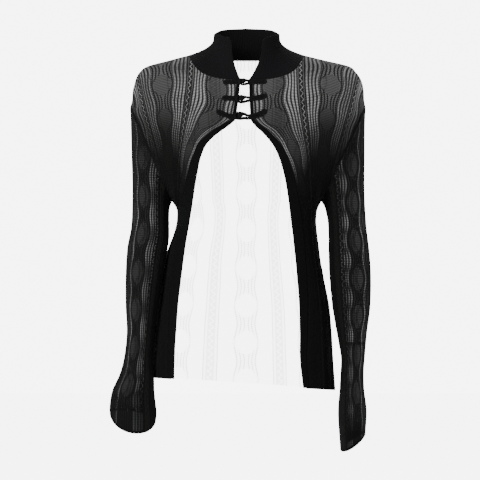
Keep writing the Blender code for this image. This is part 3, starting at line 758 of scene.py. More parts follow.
rib_group, given, sink = make_group("knit_rib", ["U", "V"], ["Height", "PaintedShade"])
loops = stitches(given["U"], given["V"])
# the rib's shade output paints its loops lighter and the hollows between them darker
for socket, value in (("Height", loops), ("PaintedShade", loops * 0.6)):
    rib_group.links.new(value.socket, sink.inputs[socket])
print("nodes in the lace group:", len(lace_group.nodes))

# %% [markdown]
# A `yarn` finish mixes two dark tones by its group's painted shade, so that raised
# knit is painted lighter and its hollows painted darker, takes its bumps from the
# height and lets light through where the lace is open. The back panel is seen
# from two sides: its outer face is dark openwork like the fronts, and its face
# towards the body is far more open, so that the jacket's inside looks as light as
# the paper behind it. Two layers of cloth could do that as well, but one layer with
# two faces keeps the piece a single sheet.

# %% Materials
def by_side(tree, value, times):
    """A value as it is on the outer face, and so many times as much on the inner face."""
    share = tree.nodes.new("ShaderNodeMapRange")
    share.inputs["To Min"].default_value = 1
    share.inputs["To Max"].default_value = times
    seen = tree.nodes.new("ShaderNodeNewGeometry")
    tree.links.new(seen.outputs["Backfacing"], share.inputs["Value"])
    product = tree.nodes.new("ShaderNodeMath")
    product.operation = "MULTIPLY"
    tree.links.new(value, product.inputs[0])
    tree.links.new(share.outputs["Result"], product.inputs[1])
    return product.outputs[0]


def yarn(name, dark, light, group, relief, rough=0.82, sheen=0.006, inside=None):
    """A knit finish: its group's painted shade picks between two dark yarn tones, the
    lighter one painted light on raised stitches and the darker one painted shade in
    the hollows. `inside` gives how many times as open its values are on the face that
    lies towards the body."""
    made = bpy.data.materials.new(name)
    made.use_nodes = True
    tree = made.node_tree
    shader = tree.nodes["Principled BSDF"]
    shader.inputs["Roughness"].default_value = rough
    shader.inputs["Sheen Weight"].default_value = sheen
    shader.inputs["Sheen Roughness"].default_value = 0.5
    shader.inputs["Sheen Tint"].default_value = (0.75, 0.80, 0.78, 1)
    shader.inputs["Specular IOR Level"].default_value = 0.03
    knit = tree.nodes.new("ShaderNodeUVMap")
    knit.uv_map = "knit"
    split = tree.nodes.new("ShaderNodeSeparateXYZ")
    tree.links.new(knit.outputs["UV"], split.inputs["Vector"])
    shared_group = tree.nodes.new("ShaderNodeGroup")
    shared_group.node_tree = group
    tree.links.new(split.outputs["X"], shared_group.inputs["U"])
    tree.links.new(split.outputs["Y"], shared_group.inputs["V"])
    for key in ("Open", "Sheer", "Bow"):
        if key in shared_group.inputs:
            value = tree.nodes.new("ShaderNodeAttribute")
            value.attribute_name = key.lower()
            source = value.outputs["Fac"]
            if inside and key in inside:
                source = by_side(tree, source, inside[key])
            tree.links.new(source, shared_group.inputs[key])
    # painted light and shade: the darker tone goes into the knit's hollows, the lighter onto its
    # raised stitches
    painted_shade_mix = tree.nodes.new("ShaderNodeMix")
    painted_shade_mix.data_type = "RGBA"
    tree.links.new(shared_group.outputs["PaintedShade"], painted_shade_mix.inputs["Factor"])
    painted_shade_mix.inputs["A"].default_value = (*dark, 1)
    painted_shade_mix.inputs["B"].default_value = (*light, 1)
    tree.links.new(painted_shade_mix.outputs["Result"], shader.inputs["Base Color"])
    bump = tree.nodes.new("ShaderNodeBump")
    bump.inputs["Distance"].default_value = relief
    tree.links.new(shared_group.outputs["Height"], bump.inputs["Height"])
    tree.links.new(bump.outputs["Normal"], shader.inputs["Normal"])
    if "Cover" in shared_group.outputs:
        tree.links.new(shared_group.outputs["Cover"], shader.inputs["Alpha"])
    return made


# painted shade and highlight: the lace yarn's tone in its hollows and on its raised stitches
HOLLOW_SHADE_BLACK, RIDGE_HIGHLIGHT_GREY = (0.0001, 0.0001, 0.0001), (0.0028, 0.0027, 0.0024)
LACE_RELIEF, RIB_RELIEF, BAND_RELIEF, CORD_RELIEF = 0.0006, 0.0002, 0.0004, 0.0003
BACK_OPEN, BACK_SHEER = 0.13, 0.25      # the back panel's outer face
INNER_OPEN, INNER_SHEER = 1, 8          # and its face towards the body
lace_yarn = yarn("lace_yarn", HOLLOW_SHADE_BLACK, RIDGE_HIGHLIGHT_GREY, lace_group, LACE_RELIEF)
back_yarn = yarn("back_yarn", HOLLOW_SHADE_BLACK, RIDGE_HIGHLIGHT_GREY, lace_group, LACE_RELIEF,
                 inside={"Open": INNER_OPEN / BACK_OPEN, "Sheer": INNER_SHEER / BACK_SHEER})
# each pair: painted shade in the hollows, painted highlight on the raised loops
rib_yarn = yarn("rib_yarn", (0.0013, 0.0011, 0.0013), (0.0018, 0.0015, 0.0018), rib_group,
                RIB_RELIEF)
band_yarn = yarn("band_yarn", (0.0003, 0.0003, 0.0003), (0.0011, 0.0010, 0.0011), rib_group,
                 BAND_RELIEF)
cord_yarn = yarn("cord_yarn", (0.0006, 0.0006, 0.0006), (0.0026, 0.0024, 0.0026), rib_group,
                 CORD_RELIEF, rough=0.6)
print("materials:", [m.name for m in bpy.data.materials])

# %% [markdown]
# ## Panels and sleeves
# Each one is a single sheer layer in the middle of its wall, raised by the lace. A
# solid wall would show the lace twice and hide the light behind it. The fronts and
# sleeves are rolled under at their hems. Near a seam the lace closes up, and a few
# rows go on past the seam behind the next piece, as a seam allowance does.

# %% Rolled edges and tucked seams
PANEL_WALL = 0.0016
ROLL_STEPS = 5                # rows round the rolled edge
TURN_UP = (0.005, 0.0025)     # heights of the rows that go up inside it
# how far each tucked row goes past the seam, and how far in
TUCKS = ((0.0035, 0.0015), (0.0010, 0.0011), (-0.0004, 0.0004))


def rolled(grid, normal, values):
    """Extra first rows that roll the free edge under to the inside."""
    radius = PANEL_WALL / 2
    up = unit(grid[1] - grid[0])
    rows = [grid[0] - 2 * radius * normal[0] + up * height for height in TURN_UP]
    for angle in np.linspace(math.pi, 0, ROLL_STEPS + 1)[:-1]:
        rows.append(grid[0] - up * radius * math.sin(angle)
                    - normal[0] * radius * (1 - math.cos(angle)))
    count = len(rows)
    grid = np.concatenate([np.array(rows), grid])
    return grid, [np.concatenate([np.repeat(value[:1], count, axis=0), value]) for value in values]


def tucked(grid, normal, values, axis, end):
    """A few more rows past a seam, which lie behind the next piece."""
    def turned(array):
        array = np.swapaxes(array, 0, axis)
        return np.flip(array, 0) if end else array

    def turned_back(array):
        return np.swapaxes(np.flip(array, 0) if end else array, 0, axis)

    def lengthened(array):
        return turned_back(np.concatenate([np.repeat(array[:1], len(TUCKS), axis=0), array]))

    grid, normal, values = turned(grid), turned(normal), [turned(value) for value in values]
    past = unit(grid[0] - grid[2])
    rows = [grid[0] + past * reach - normal[0] * depth for reach, depth in TUCKS]
    grid = turned_back(np.concatenate([np.array(rows), grid]))
    return grid, lengthened(normal), [lengthened(value) for value in values]


print("rows in a seam allowance:", len(TUCKS))

# %% Lace sheets
RELIEF = 0.0007               # how far the lace stands out
SINK = 0.012                  # a sheet sinks to the middle of its wall within this
SHUT_START, SHUT_END = 0.0004, 0.0018     # the lace opens between these off a seam


def lace_sheet(name, grid, normal, u, v, opened, sheer, bow, seam, tucks, finish):
    """A lace layer inside its wall, raised by its pattern; the plain lace is rolled
    at its hem."""
    _, raised = lace(u, v, sheer, bow)
    inside = rise(seam, 0.0, SINK)
    layer = grid + (normal * (raised * RELIEF * rise(seam, 0.001, 0.006)
                              - inside * PANEL_WALL / 2)[..., None])
    values = [np.broadcast_to(value, layer.shape[:2]) for value in (u, v, opened, sheer, bow)]
    for axis, end in tucks:
        layer, normal, values = tucked(layer, normal, values, axis, end)
    if finish is lace_yarn:
        layer, values = rolled(layer, normal, values)
    u, v, opened, sheer, bow = values
    return surface(name, layer, u, v, {"open": opened, "sheer": sheer, "bow": bow}, finish)


def seam_shut(*distances):
    """1 in the cloth, 0 within a few millimetres of a seam or a hem."""
    shut = 1.0
    for distance in distances:
        shut = shut * rise(distance, SHUT_START, SHUT_END)
    return shut


print("relief of the lace, mm:", RELIEF * 1000)

# %% [markdown]
# The fronts and the back carry the lace from the shoulders down. On the fronts the
# repeats are laid along the worn cloth, so their columns spread at the shoulders,
# and the lines bend less the further they are from the front edge. Stretching one
# flat repeat over the panel would squeeze the leaves at the cutaway.

# %% Repeats on the fronts and the back
REPEATS = 2.1                 # repeats across half of the body
BACK_REPEATS = 2.0            # the same on the back
FIRST_LEAF = 0.146            # where the first leaf's middle lies, as a share
LEAF_HEIGHT = -0.053          # height of a leaf's middle at the shoulders
LEAF_COLUMN = 97              # the grid column on which that height is measured
SMOOTHING = (1, 8, 16, 24)    # rows over which a line is evened, from the edge out
EASED = 0.02, 0.40            # shares between which the lines ease
MARGIN = 0.5                  # the shares go on this far past the grid's sides
share = np.linspace(0, 1, NECK_COLUMNS + SHOULDER_COLUMNS + 1)


def along_from_leaf(grid, column):
    """Metres up each column from the row of leaf middles."""
    up = steps(grid, 0)
    up = up - up[LOWER_ROWS]
    start = np.interp(LEAF_HEIGHT, grid[:, column, 2], up[:, column])
    return up - start


def eased_share(grid):
    """Shares across a front whose lines bend less the further they are from its edge."""
    rows = np.arange(len(grid))
    weights = [np.exp(-((rows[:, None] - rows) / width) ** 2) for width in SMOOTHING]
    soft = np.stack([weight @ grid[..., 0] / weight.sum(axis=1, keepdims=True)
                     for weight in weights])
    level = (len(SMOOTHING) - 1) * ramp(share, *EASED)
    low = np.clip(level.astype(int), 0, len(SMOOTHING) - 2)
    columns = np.arange(len(share))
    lines = soft[low, :, columns] + (soft[low + 1, :, columns] - soft[low, :, columns]) * (
        level - low)[:, None]
    away = np.sign(grid[0, -1, 0])
    known = np.concatenate([[-MARGIN], share, [1 + MARGIN]])
    first, last = lines[1] - lines[0], lines[-1] - lines[-2]
    lines = np.concatenate([[lines[0] - MARGIN * first / (share[1] - share[0])], lines,
                            [lines[-1] + MARGIN * last / (share[-1] - share[-2])]])
    return np.stack([np.interp(away * row[:, 0], away * line, known)
                     for row, line in zip(grid, lines.T)])


print("repeats across a front:", REPEATS)

# %% Fronts
FRONT_OPEN = 0.094            # how open a front is where it is most open
OUTER_SHUT = 0.70             # how much of that closes towards the armhole
OUTER_SHARES, OUTER_DROP = (0.25, 0.60), (0.060, 0.150)   # across, and down, to there
LOW_DROP = 0.150, 0.245       # the lace closes between these depths
LOW_LAG, LAG_SHARES = 0.045, (0.10, 0.45)       # later at the front edge
TRACE = 0.004                 # this much of it stays open below
PANEL_BOW = 0.022             # how far the columns bow round a leaf, in repeats
BOW_DROP = 0.26, 0.32         # the leaves end between these depths
LOW_SHEER, HIGH_SHEER = 0.11, 0.17      # the mesh below, and what the shoulders add
SHEER_TOP, SHEER_FALL = 0.03, 0.085     # where that begins to fade, and how fast
for side in (LEFT, RIGHT):
    grid = fronts[side]
    u = (eased_share(grid) - FIRST_LEAF) * REPEATS
    v = along_from_leaf(grid, LEAF_COLUMN)
    height = grid[..., 2]
    in_from = steps(grid, 1)
    seam = np.minimum(in_from[:, -1:] - in_from, steps(grid[::-1], 0)[::-1])
    shut = seam_shut(steps(grid, 0), in_from, seam)
    outer = ramp(-height, *OUTER_DROP) * ramp(share, *OUTER_SHARES)
    below = ramp(LOW_LAG * ramp(share, *LAG_SHARES) - height, *LOW_DROP)
    opened = shut * FRONT_OPEN * (1 - OUTER_SHUT * outer) * (1 + TRACE - below)
    bow = PANEL_BOW * (1 - ramp(-height, *BOW_DROP))
    fade = np.exp(-(np.maximum(-height - SHEER_TOP, 0) / SHEER_FALL) ** 2)
    sheer = LOW_SHEER + HIGH_SHEER * fade
    piece = lace_sheet("look_front_" + SIDE_NAME[side], grid, normals_of(grid) * side, u, v,
                       opened, sheer, bow, seam, [(1, False), (1, True), (0, True)],
                       lace_yarn)
    finish_piece(piece, "front_" + SIDE_NAME[side])
    print(piece.name, "triangles:", triangles(piece))

# %% Back
half_share = share * BACK_REPEATS
u = np.concatenate([-half_share[::-1], half_share[1:]])
u = np.broadcast_to(u, back_grid.shape[:2])
v = along_from_leaf(back_grid, NECK_COLUMNS + SHOULDER_COLUMNS + LEAF_COLUMN)
in_from = steps(back_grid, 1)
seam = np.minimum(np.minimum(in_from, in_from[:, -1:] - in_from),
                  steps(back_grid[::-1], 0)[::-1])
shut = seam_shut(seam)
# columns turned round, so that the outer face is the mesh's front face
grid, normal, u, v, opened, seam = [value[:, ::-1] for value in (
    back_grid, -normals_of(back_grid), u, v, shut * BACK_OPEN, seam)]
piece = lace_sheet("look_back", grid, normal, u, v, opened, np.full_like(v, BACK_SHEER),
                   np.full_like(v, PANEL_BOW), seam, [(0, True)], back_yarn)
finish_piece(piece, "back")
print(piece.name, "triangles:", triangles(piece))

# %% [markdown]
# The sleeves are the same lace, three repeats round. Of a tube two layers are seen
# through each other, and two patterns would blur into one grey. So the front half
# carries the pattern, with bright ladders, and the rear half is evenly sheer. The
# cuff is nearly closed, and the inner side is closed too, as painted shade where
# shade falls along the body.

# %% How open the sleeves are
AROUND = 3                    # repeats round a sleeve
LEAF_TURN = {LEFT: math.radians(68), RIGHT: math.radians(69)}   # of a leaf, from outside
SLEEVE_LEAF = {LEFT: -0.328, RIGHT: -0.341}     # height of a leaf's middle
CUFF_START = {LEFT: 0.600, RIGHT: 0.640}        # the lace closes this far down
CUFF_SHUT = (0.50, 0, 0.050), (0.47, 0.040, 0.056)   # how much, from and to how far below
BOW = {LEFT: 0.030, RIGHT: 0.044}
BOW_BELOW = 0.010, 0.040      # the leaves end between these depths below the cuff's start
INNER_TURN, INNER_WIDTH = math.radians(174), math.radians(74)   # the inner side, closed as painted shade
RIM_WIDTH = math.radians(26)  # half width of the darker strip along the outer edge
INNER_SHADE_SHUT, RIM_SHUT, LINK_SHUT = 0.97, 0.55, 0.6   # how much of the lace each closes
REAR_SWING = -0.15, 0.35      # where the front half gives way to the rear half
TOP_LIGHT, TOP_DROP = 0.35, (0.13, 0.24)      # less open at the shoulder, down to here
LINK_ROW = -0.5315            # height of the right sleeve's denser row
FRONT_LIGHT, REAR_LIGHT = 0.28, 0.16    # how open the two halves are
HEM_LIGHT = 0.70              # what the rear half adds at its hem
SLEEVE_SHEER = 0.30           # how sheer the front half's mesh is
GROUND_GLOW, LEAF_GLOW, LADDER_GLOW = 0.50, 0.6, 1.6
WIDE_LADDER, NARROW_LADDER = (0.232, 0.226), (0.075, 0.055)   # outer edge, soft inwards
MIDDLE_DIM = 0.9              # the bar after a ladder's second column is nearly closed


def ladder_light(u, leaf_half, across, column):
    """How bright each column of a sleeve is: leaves a little, ladders most, which are
    broader on one side of each leaf than on the other."""
    inside = fraction(u) < 0.5
    end, full = (LADDER_START + np.where(inside, wide, narrow)
                 for wide, narrow in zip(WIDE_LADDER, NARROW_LADDER))
    return (GROUND_GLOW + LEAF_GLOW * rise(leaf_half - across, 0, 0.02)
            + LADDER_GLOW * rise(column, LADDER_START, LADDER_START + 0.005)
            * rise(column, end, full)
            * (1 - MIDDLE_DIM * near(column, LADDER_START + 2 * LADDER_PITCH, 0.008, 0.012)))


print("leaves on a sleeve, about:", round(CUFF_START[LEFT] / LEAF_PITCH))

# %% Sleeves
for side in (LEFT, RIGHT):
    grid = sleeves[side]
    turn = np.linspace(0, 2 * math.pi, SLEEVE_COLUMNS + 1)
    u = np.broadcast_to((turn - LEAF_TURN[side]) * AROUND / (2 * math.pi), grid.shape[:2])
    v = grid[..., 2] - SLEEVE_LEAF[side]
    height, from_hem = grid[..., 2], steps(grid, 0)
    seam = steps(grid[::-1], 0)[::-1]
    shut = seam_shut(seam)
    # painted shade: the lace of the inner side is closed so that it shows dark
    inner = np.exp(-((turn - INNER_TURN) / INNER_WIDTH) ** 4)
    rear = ramp(-np.sin(turn), *REAR_SWING)
    cuff = CUFF_START[side] + height
    bow = BOW[side] * (1 - ramp(-cuff, *BOW_BELOW))
    across, leaf_half, column = leaf_and_column(u, v, bow)
    bright = ladder_light(u, leaf_half, across, column)
    shutting = sum(much * ramp(-cuff, start, end) for much, start, end in CUFF_SHUT)
    lower = TOP_LIGHT + (1 - TOP_LIGHT) * ramp(-height, *TOP_DROP)
    front = FRONT_LIGHT * bright * (1 - shutting) * lower
    link = 1 - LINK_SHUT * near(height, LINK_ROW, 0.0008, 0.0016) * (side == RIGHT)
    rim = np.exp(-((math.pi - abs(turn - math.pi)) / RIM_WIDTH) ** 2)
    opened = shut * (1 - INNER_SHADE_SHUT * inner) * (1 - RIM_SHUT * rim) * link * (
        front * (1 - rear) * rise(from_hem, SHUT_START, SHUT_END)
        + rear * (REAR_LIGHT + HEM_LIGHT * (1 - rise(from_hem, 0.002, 0.008))))
    sheer = (SLEEVE_SHEER + (1 - SLEEVE_SHEER) * rear) * np.ones_like(v)
    piece = lace_sheet("look_sleeve_" + SIDE_NAME[side], grid,
                       normals_of(grid, closed=True) * -side, u, v, opened, sheer, bow, seam,
                       [(0, True)], lace_yarn)
    finish_piece(piece, "sleeve_" + SIDE_NAME[side])
    print(piece.name, "triangles:", triangles(piece))

# %% [markdown]
# ## Collar and bands
# These are knitted so densely that no light comes through. A Solidify modifier on a
# sheet would make walls with sharp rims, so they are closed walls made directly: a
# middle sheet moved out and in by half the wall, which thins to a round rim at
# every free edge.

# %% Closed walls
LEAST_HALF = 0.00008          # half a wall at its rim


def closed_wall(name, middle, normal, half, u, v, finish):
    """Outer and inner layer of a middle sheet, joined round its rim."""
    shape = middle.shape[:2]
    front, place = quads(*shape)
    rim = np.concatenate([place[0], place[1:, -1], place[-1, -2::-1], place[-2:0:-1, 0]])
    ahead, count = np.roll(rim, -1), place.size
    side_faces = np.stack([rim, rim + count, ahead + count, ahead], axis=1)
    faces = np.concatenate([front, front[:, ::-1] + count, side_faces])
    out = normal * half[..., None]
    mesh = knit_mesh(name, np.array([middle + out, middle - out]), faces, u, v, shape)
    work = bmesh.new()
    work.from_mesh(mesh)
    bmesh.ops.recalc_face_normals(work, faces=work.faces)
    work.to_mesh(mesh)
    work.free()
    return placed(name, mesh, finish)


def thinned(half, distance):
    """Half a wall, rounded off where it comes near a free edge."""
    near_edge = np.clip(distance / half, 0, 1)
    return np.maximum(half * np.sqrt(1 - (1 - near_edge) ** 2), LEAST_HALF)


print("half a wall 0.2 mm from its edge, mm:", round(float(thinned(0.001, 0.0002)) * 1000, 2))

# %% Front bands
BAND_WALL = 0.0022
BAND_SHARES = np.array([0, 0.02, 0.07, 0.18, 0.34, 0.5, 0.66, 0.82, 0.93, 0.98, 1])
BAND_RIDGES = 4
RIDGE_HEIGHT = 0.00022        # of the ridges on bands and collar
BAND_STITCH = 0.0024          # width of a stitch
for side in (LEFT, RIGHT):
    heights = fronts[side][:, 0, 2]
    grid = []
    for height in heights:
        places = edge_at(side, height, band_width(height) * BAND_SHARES)
        levels = hem(places) if height == heights[0] else np.full(len(places), height)
        grid.append(np.stack([places, cloth_depth(places, levels, side, FRONT), levels], axis=1))
    grid = np.array(grid)
    normal = normals_of(grid) * side
    across, up = steps(grid, 1), steps(grid, 0)
    distance = np.minimum(np.minimum(across, across[:, -1:] - across), up)
    half = thinned(BAND_WALL / 2, distance)
    ridges = RIDGE_HEIGHT * np.cos(BAND_SHARES * 2 * math.pi * BAND_RIDGES)
    piece = closed_wall("look_band_" + SIDE_NAME[side], grid - normal * BAND_WALL / 2, normal,
                        half + ridges * np.minimum(1, distance / 0.001),
                        across / BAND_STITCH, up, band_yarn)
    finish_piece(piece, "band_" + SIDE_NAME[side])
    print(piece.name, "triangles:", triangles(piece))

# %% [markdown]
# The collar is one ribbed strip from front edge to front edge. It turns up from the
# neckline and narrows to its top. A cone would be too plain at its foot, which
# follows the neckline, so each column runs from its point of the neckline to its
# point of the top ring, turning up on the way.

# %% Size of the collar
# collar: half width of its top ring each side, where its front edges stand
# there, and the height of its top edge from the front (0) to the back (1)
COLLAR_REACH = {LEFT: 0.0602, RIGHT: 0.0610}
COLLAR_EDGE = {LEFT: 0.0268, RIGHT: 0.0282}
COLLAR_FRONT = 0.054
COLLAR_BACK = 0.050
COLLAR_FLARE = 2.8          # how quickly it turns up from the shoulders
EDGE_FLARE = 1.8            # the same at its front edges
COLLAR_START = 0.004        # first row, just off the seam
COLLAR_TOP = table("round height",
                   (0.0, 0.0165), (0.015, 0.0263), (0.037, 0.0324), (0.107, 0.0360),
                   (0.2, 0.0395), (0.415, 0.0412), (0.516, 0.0435), (0.654, 0.0485),
                   (1.0, 0.0525))
COLLAR_WALL = 0.0026
COLLAR_RIBS = 38              # on each half
RIB_COLUMNS = 8               # grid columns in one rib
ROUND = COLLAR_RIBS * RIB_COLUMNS
CLIMBS = np.concatenate([[0, 0.006, 0.02, 0.05], np.linspace(0.1, 0.94, 26),
                         [0.962, 0.98, 0.99, 0.996, 1.0]])
CLIMB_POWER = 1.25            # the rows stand closer at the foot
print("grid columns round the collar:", 2 * ROUND)


# %% Collar
def collar_half(side):
    """Half of the collar's outer face, columns from the front edge to the back."""
    columns = NECK_COLUMNS + 1
    height = fronts[side][-1, 0, 2]
    first = float(edge_at(side, height))
    corner = np.array([[first, float(cloth_depth(first, height, side, FRONT)), height]])
    base = np.concatenate([corner, fronts[side][-1, :columns],
                           backs[side][-1, :columns - 1][::-1]])
    turned = np.linspace(0, 1, ROUND + 1)
    foot = spread(base, turned)
    start = math.asin(COLLAR_EDGE[side] / COLLAR_REACH[side])
    turn = start + (math.pi - start) * turned
    top_y = -np.cos(turn) * np.where(np.cos(turn) > 0, COLLAR_FRONT, COLLAR_BACK)
    head = np.stack([side * COLLAR_REACH[side] * np.sin(turn), top_y,
                     follow(COLLAR_TOP, "round", "height", turned)], axis=1)
    flare = EDGE_FLARE + (COLLAR_FLARE - EDGE_FLARE) * ramp(turned, 0, 0.3)
    grid = []
    for t in CLIMBS:
        climb = COLLAR_START + (1 - COLLAR_START) * t ** CLIMB_POWER
        sideways = 1 - (1 - climb) ** flare
        mix = np.stack([sideways, sideways, np.full_like(turned, climb)], axis=1)
        grid.append(foot + (head - foot) * mix)
    return np.array(grid)


collar = np.concatenate([collar_half(LEFT), collar_half(RIGHT)[:, ::-1][:, 1:]], axis=1)
normal = -normals_of(collar)
up, across = steps(collar, 0), steps(collar, 1)
distance = np.minimum(np.minimum(across, across[:, -1:] - across), up[-1:] - up)
ribs = np.arange(2 * ROUND + 1) / RIB_COLUMNS
wave = RIDGE_HEIGHT * np.cos(2 * math.pi * ribs) * np.minimum(1, distance / 0.003)
piece = closed_wall("look_collar", collar - normal * (COLLAR_WALL / 2 - SEAM), normal,
                    thinned(COLLAR_WALL / 2, distance) + wave,
                    np.broadcast_to(ribs * 2, collar.shape[:2]), up, rib_yarn)
finish_piece(piece, "collar")
print("collar triangles:", triangles(piece))

# %% [markdown]
# ## Frogs
# Each frog is twisted cord: a doubled tab with a ball knot on one front and a
# doubled loop on the other, its bight round the knot's neck. One bevelled curve
# would look like wire, so three plies are wound round each other along the route.

# %% Size of the frogs
# frogs: heights of the cord where it ends on the left front, leaves it,
# crosses the gap, meets the right front and ends there
FROGS = table("left_end left_end_height left_height knot knot_height"
              " right_height right_end right_end_height size",
              (-0.0416, -0.0492, -0.0492, -0.0050, -0.0492, -0.0492, 0.0350, -0.0482, 0.8),
              (-0.0430, -0.0785, -0.0800, -0.0083, -0.0808, -0.0800, 0.0345, -0.0750, 1.0),
              (-0.0535, -0.1035, -0.1130, -0.0112, -0.1118, -0.1140, 0.0340, -0.1025, 1.0))
CORD_WIDTH, CORD_THICK = 0.0046, 0.0026
CORD_OUT = SEAM + CORD_THICK / 2    # a cord lying on the cloth
KNOT_RADIUS, KNOT_OUT = 0.0055, 0.0082
BIGHT_OUT = 0.0047            # the loop where it crosses over the knot's neck
LEVEL_STRETCH = 0.007         # a cord runs level this far on each side of its knot
RUN_IN = 0.004                # and reaches its height this far inside each front
print("frogs:", len(FROGS["knot"]))


# %% Routes on the cloth
def front_point(x, height, out=0.0):
    """A point on the front's outer face, moved out from it, and the way out."""
    side = RIGHT if x > 0 else LEFT
    step = 0.002
    y = float(cloth_depth(x, height, side, FRONT))
    slope_x = float(cloth_depth(x + step, height, side, FRONT)) - y
    slope_z = float(cloth_depth(x, height + step, side, FRONT)) - y
    away = np.array([slope_x, -step, slope_z])
    away /= np.linalg.norm(away)
    return np.array([x, y, height]) + out * away, away


def cord_line(frog):
    """Height of a frog's cord at each place across the fronts."""
    left = float(edge_at(LEFT, frog["left_height"]))
    right = float(edge_at(RIGHT, frog["right_height"]))
    before, after = frog["knot"] - LEVEL_STRETCH, frog["knot"] + LEVEL_STRETCH
    return table("place height",
                 (frog["left_end"], frog["left_end_height"]),
                 (min(left, before) - RUN_IN, frog["left_height"]),
                 (before, frog["knot_height"]),
                 (after, frog["knot_height"]),
                 (max(right, after) + RUN_IN, frog["right_height"]),
                 (frog["right_end"], frog["right_end_height"]))


def lay(line, route):
    """Points of a route (place, out of the cloth, off the line) on the fronts."""
    pairs = [front_point(x, float(follow(line, "place", "height", x)) + off, out)
             for x, out, off in route]
    return (np.array(values) for values in zip(*pairs))


def smooth_line(points, count, closed=False):
    """An even, smooth run of points through the given ones."""
    ring = np.concatenate([points[-3:], points, points[:3]]) if closed else points
    key = np.arange(len(ring), dtype=float)
    rows = {"key": key, **{k: ring[:, k] for k in range(points.shape[1])}}
    start, end = (3, 3 + len(points)) if closed else (0, len(points) - 1)
    fine = np.linspace(start, end, 12 * len(points))
    line = np.stack([follow(rows, "key", k, fine) for k in range(points.shape[1])], axis=1)
    return spread(line, np.linspace(0, 1, count))

print("a point on the cloth:", front_point(0.03, -0.1)[0].round(4))

# %% Twisted cord and ball knot
PLIES = 3
PLY_SIDES = 8
TWIST = 0.0085                # length of one full turn of the plies
PLY_PLACE, PLY_HALF = 0.22, 0.30      # a ply's place and half width in the cord
LAID_WIDTH, LAID_THICK = 0.0060, 0.0038   # a cord as it lies flat
WINDINGS, WAVES = 2, 3        # the knot's cord goes round twice in three waves
WAVE_SWING, WAVE_LIFT = 0.72, 0.10


def ply_cord(name, centres, away, width, thick, closed):
    """Twisted plies round a centre line, flattened against the cloth."""
    ahead = unit(np.gradient(centres, axis=0))
    if closed:
        ahead[0] = ahead[-1] = unit(centres[1] - centres[-2])
    aside = unit(np.cross(ahead, away))
    out = unit(np.cross(aside, ahead))
    run = np.concatenate([[0], np.cumsum(np.linalg.norm(np.diff(centres, axis=0), axis=1))])
    turns = max(1, round(run[-1] / TWIST)) if closed else run[-1] / TWIST
    angle = np.linspace(0, 2 * math.pi, PLY_SIDES + 1)
    parts = []
    for ply in range(PLIES):
        phase = 2 * math.pi * (run / run[-1] * turns + ply / PLIES)
        middle = (centres + aside * (np.cos(phase) * width * PLY_PLACE)[:, None]
                  + out * (np.sin(phase) * thick * PLY_PLACE)[:, None])
        grid = (middle[:, None]
                + aside[:, None] * (np.cos(angle) * width * PLY_HALF)[None, :, None]
                + out[:, None] * (np.sin(angle) * thick * PLY_HALF)[None, :, None])
        u = np.broadcast_to(np.linspace(0, 2, PLY_SIDES + 1), grid.shape[:2])
        v = np.broadcast_to(run[:, None], grid.shape[:2])
        parts.append(surface(name + f"_{ply}", grid, u, v, {}, cord_yarn))
    return parts


def ball_knot(name, centre, away, across, radius):
    """A cord wound over a ball, crossing itself as a knot does."""
    aside = unit(across - away * np.dot(across, away))
    third = np.cross(away, aside)
    t = np.linspace(0, 2 * math.pi, 260)
    swing = WAVE_SWING * np.sin(WAVES * t)
    around = WINDINGS * t
    path = radius * 0.76 * (
        (np.cos(swing) * np.cos(around))[:, None] * aside
        + (np.cos(swing) * np.sin(around))[:, None] * third
        + np.sin(swing)[:, None] * away)
    lift = 1 + WAVE_LIFT * np.cos(2 * WAVES * t)
    line = centre + path * lift[:, None]
    parts = ply_cord(name, line, unit(path), radius * 0.80, radius * 0.60, True)
    core = bmesh.new()
    bmesh.ops.create_icosphere(core, subdivisions=3, radius=radius * 0.74)
    mesh = bpy.data.meshes.new(name + "_core")
    core.to_mesh(mesh)
    core.free()
    mesh.uv_layers.new(name="knit")
    mesh.materials.append(cord_yarn)
    ball = bpy.data.objects.new(name + "_core", mesh)
    ball.location = centre
    bpy.context.scene.collection.objects.link(ball)
    return parts + [ball]


print("plies in a cord:", PLIES)


# %% Routes of the frogs
TAB_HALF = CORD_WIDTH / 2 + SEAM / 2      # half the distance of a tab's two cords
LOOP_HALF = CORD_WIDTH / 2 + SEAM         # and of a loop's
KNOT_SIDE = 0.0049                        # and of a loop's, beside the knot


def mirrored(one_side, last):
    """A route out along one side of the line, round its end and back along the other."""
    return one_side + [last] + [(x, out, -off) for x, out, off in reversed(one_side)]


def tab_route(start, knot, size):
    """Place, out of the cloth and off the line, from the knot round to the knot."""
    one_side = [(knot - size * 0.0040, CORD_OUT, 0.0004),
                (knot - size * 0.0090, CORD_OUT, 0.0011),
                (knot - size * 0.0150, CORD_OUT, TAB_HALF * 0.92),
                (start + 0.0120, CORD_OUT, TAB_HALF),
                (start + 0.0050, CORD_OUT, TAB_HALF),
                (start + 0.0016, CORD_OUT, TAB_HALF * 0.72)]
    route = mirrored(one_side, (start + 0.0006, CORD_OUT, 0.0))
    return [(x, out, size * off) for x, out, off in route]


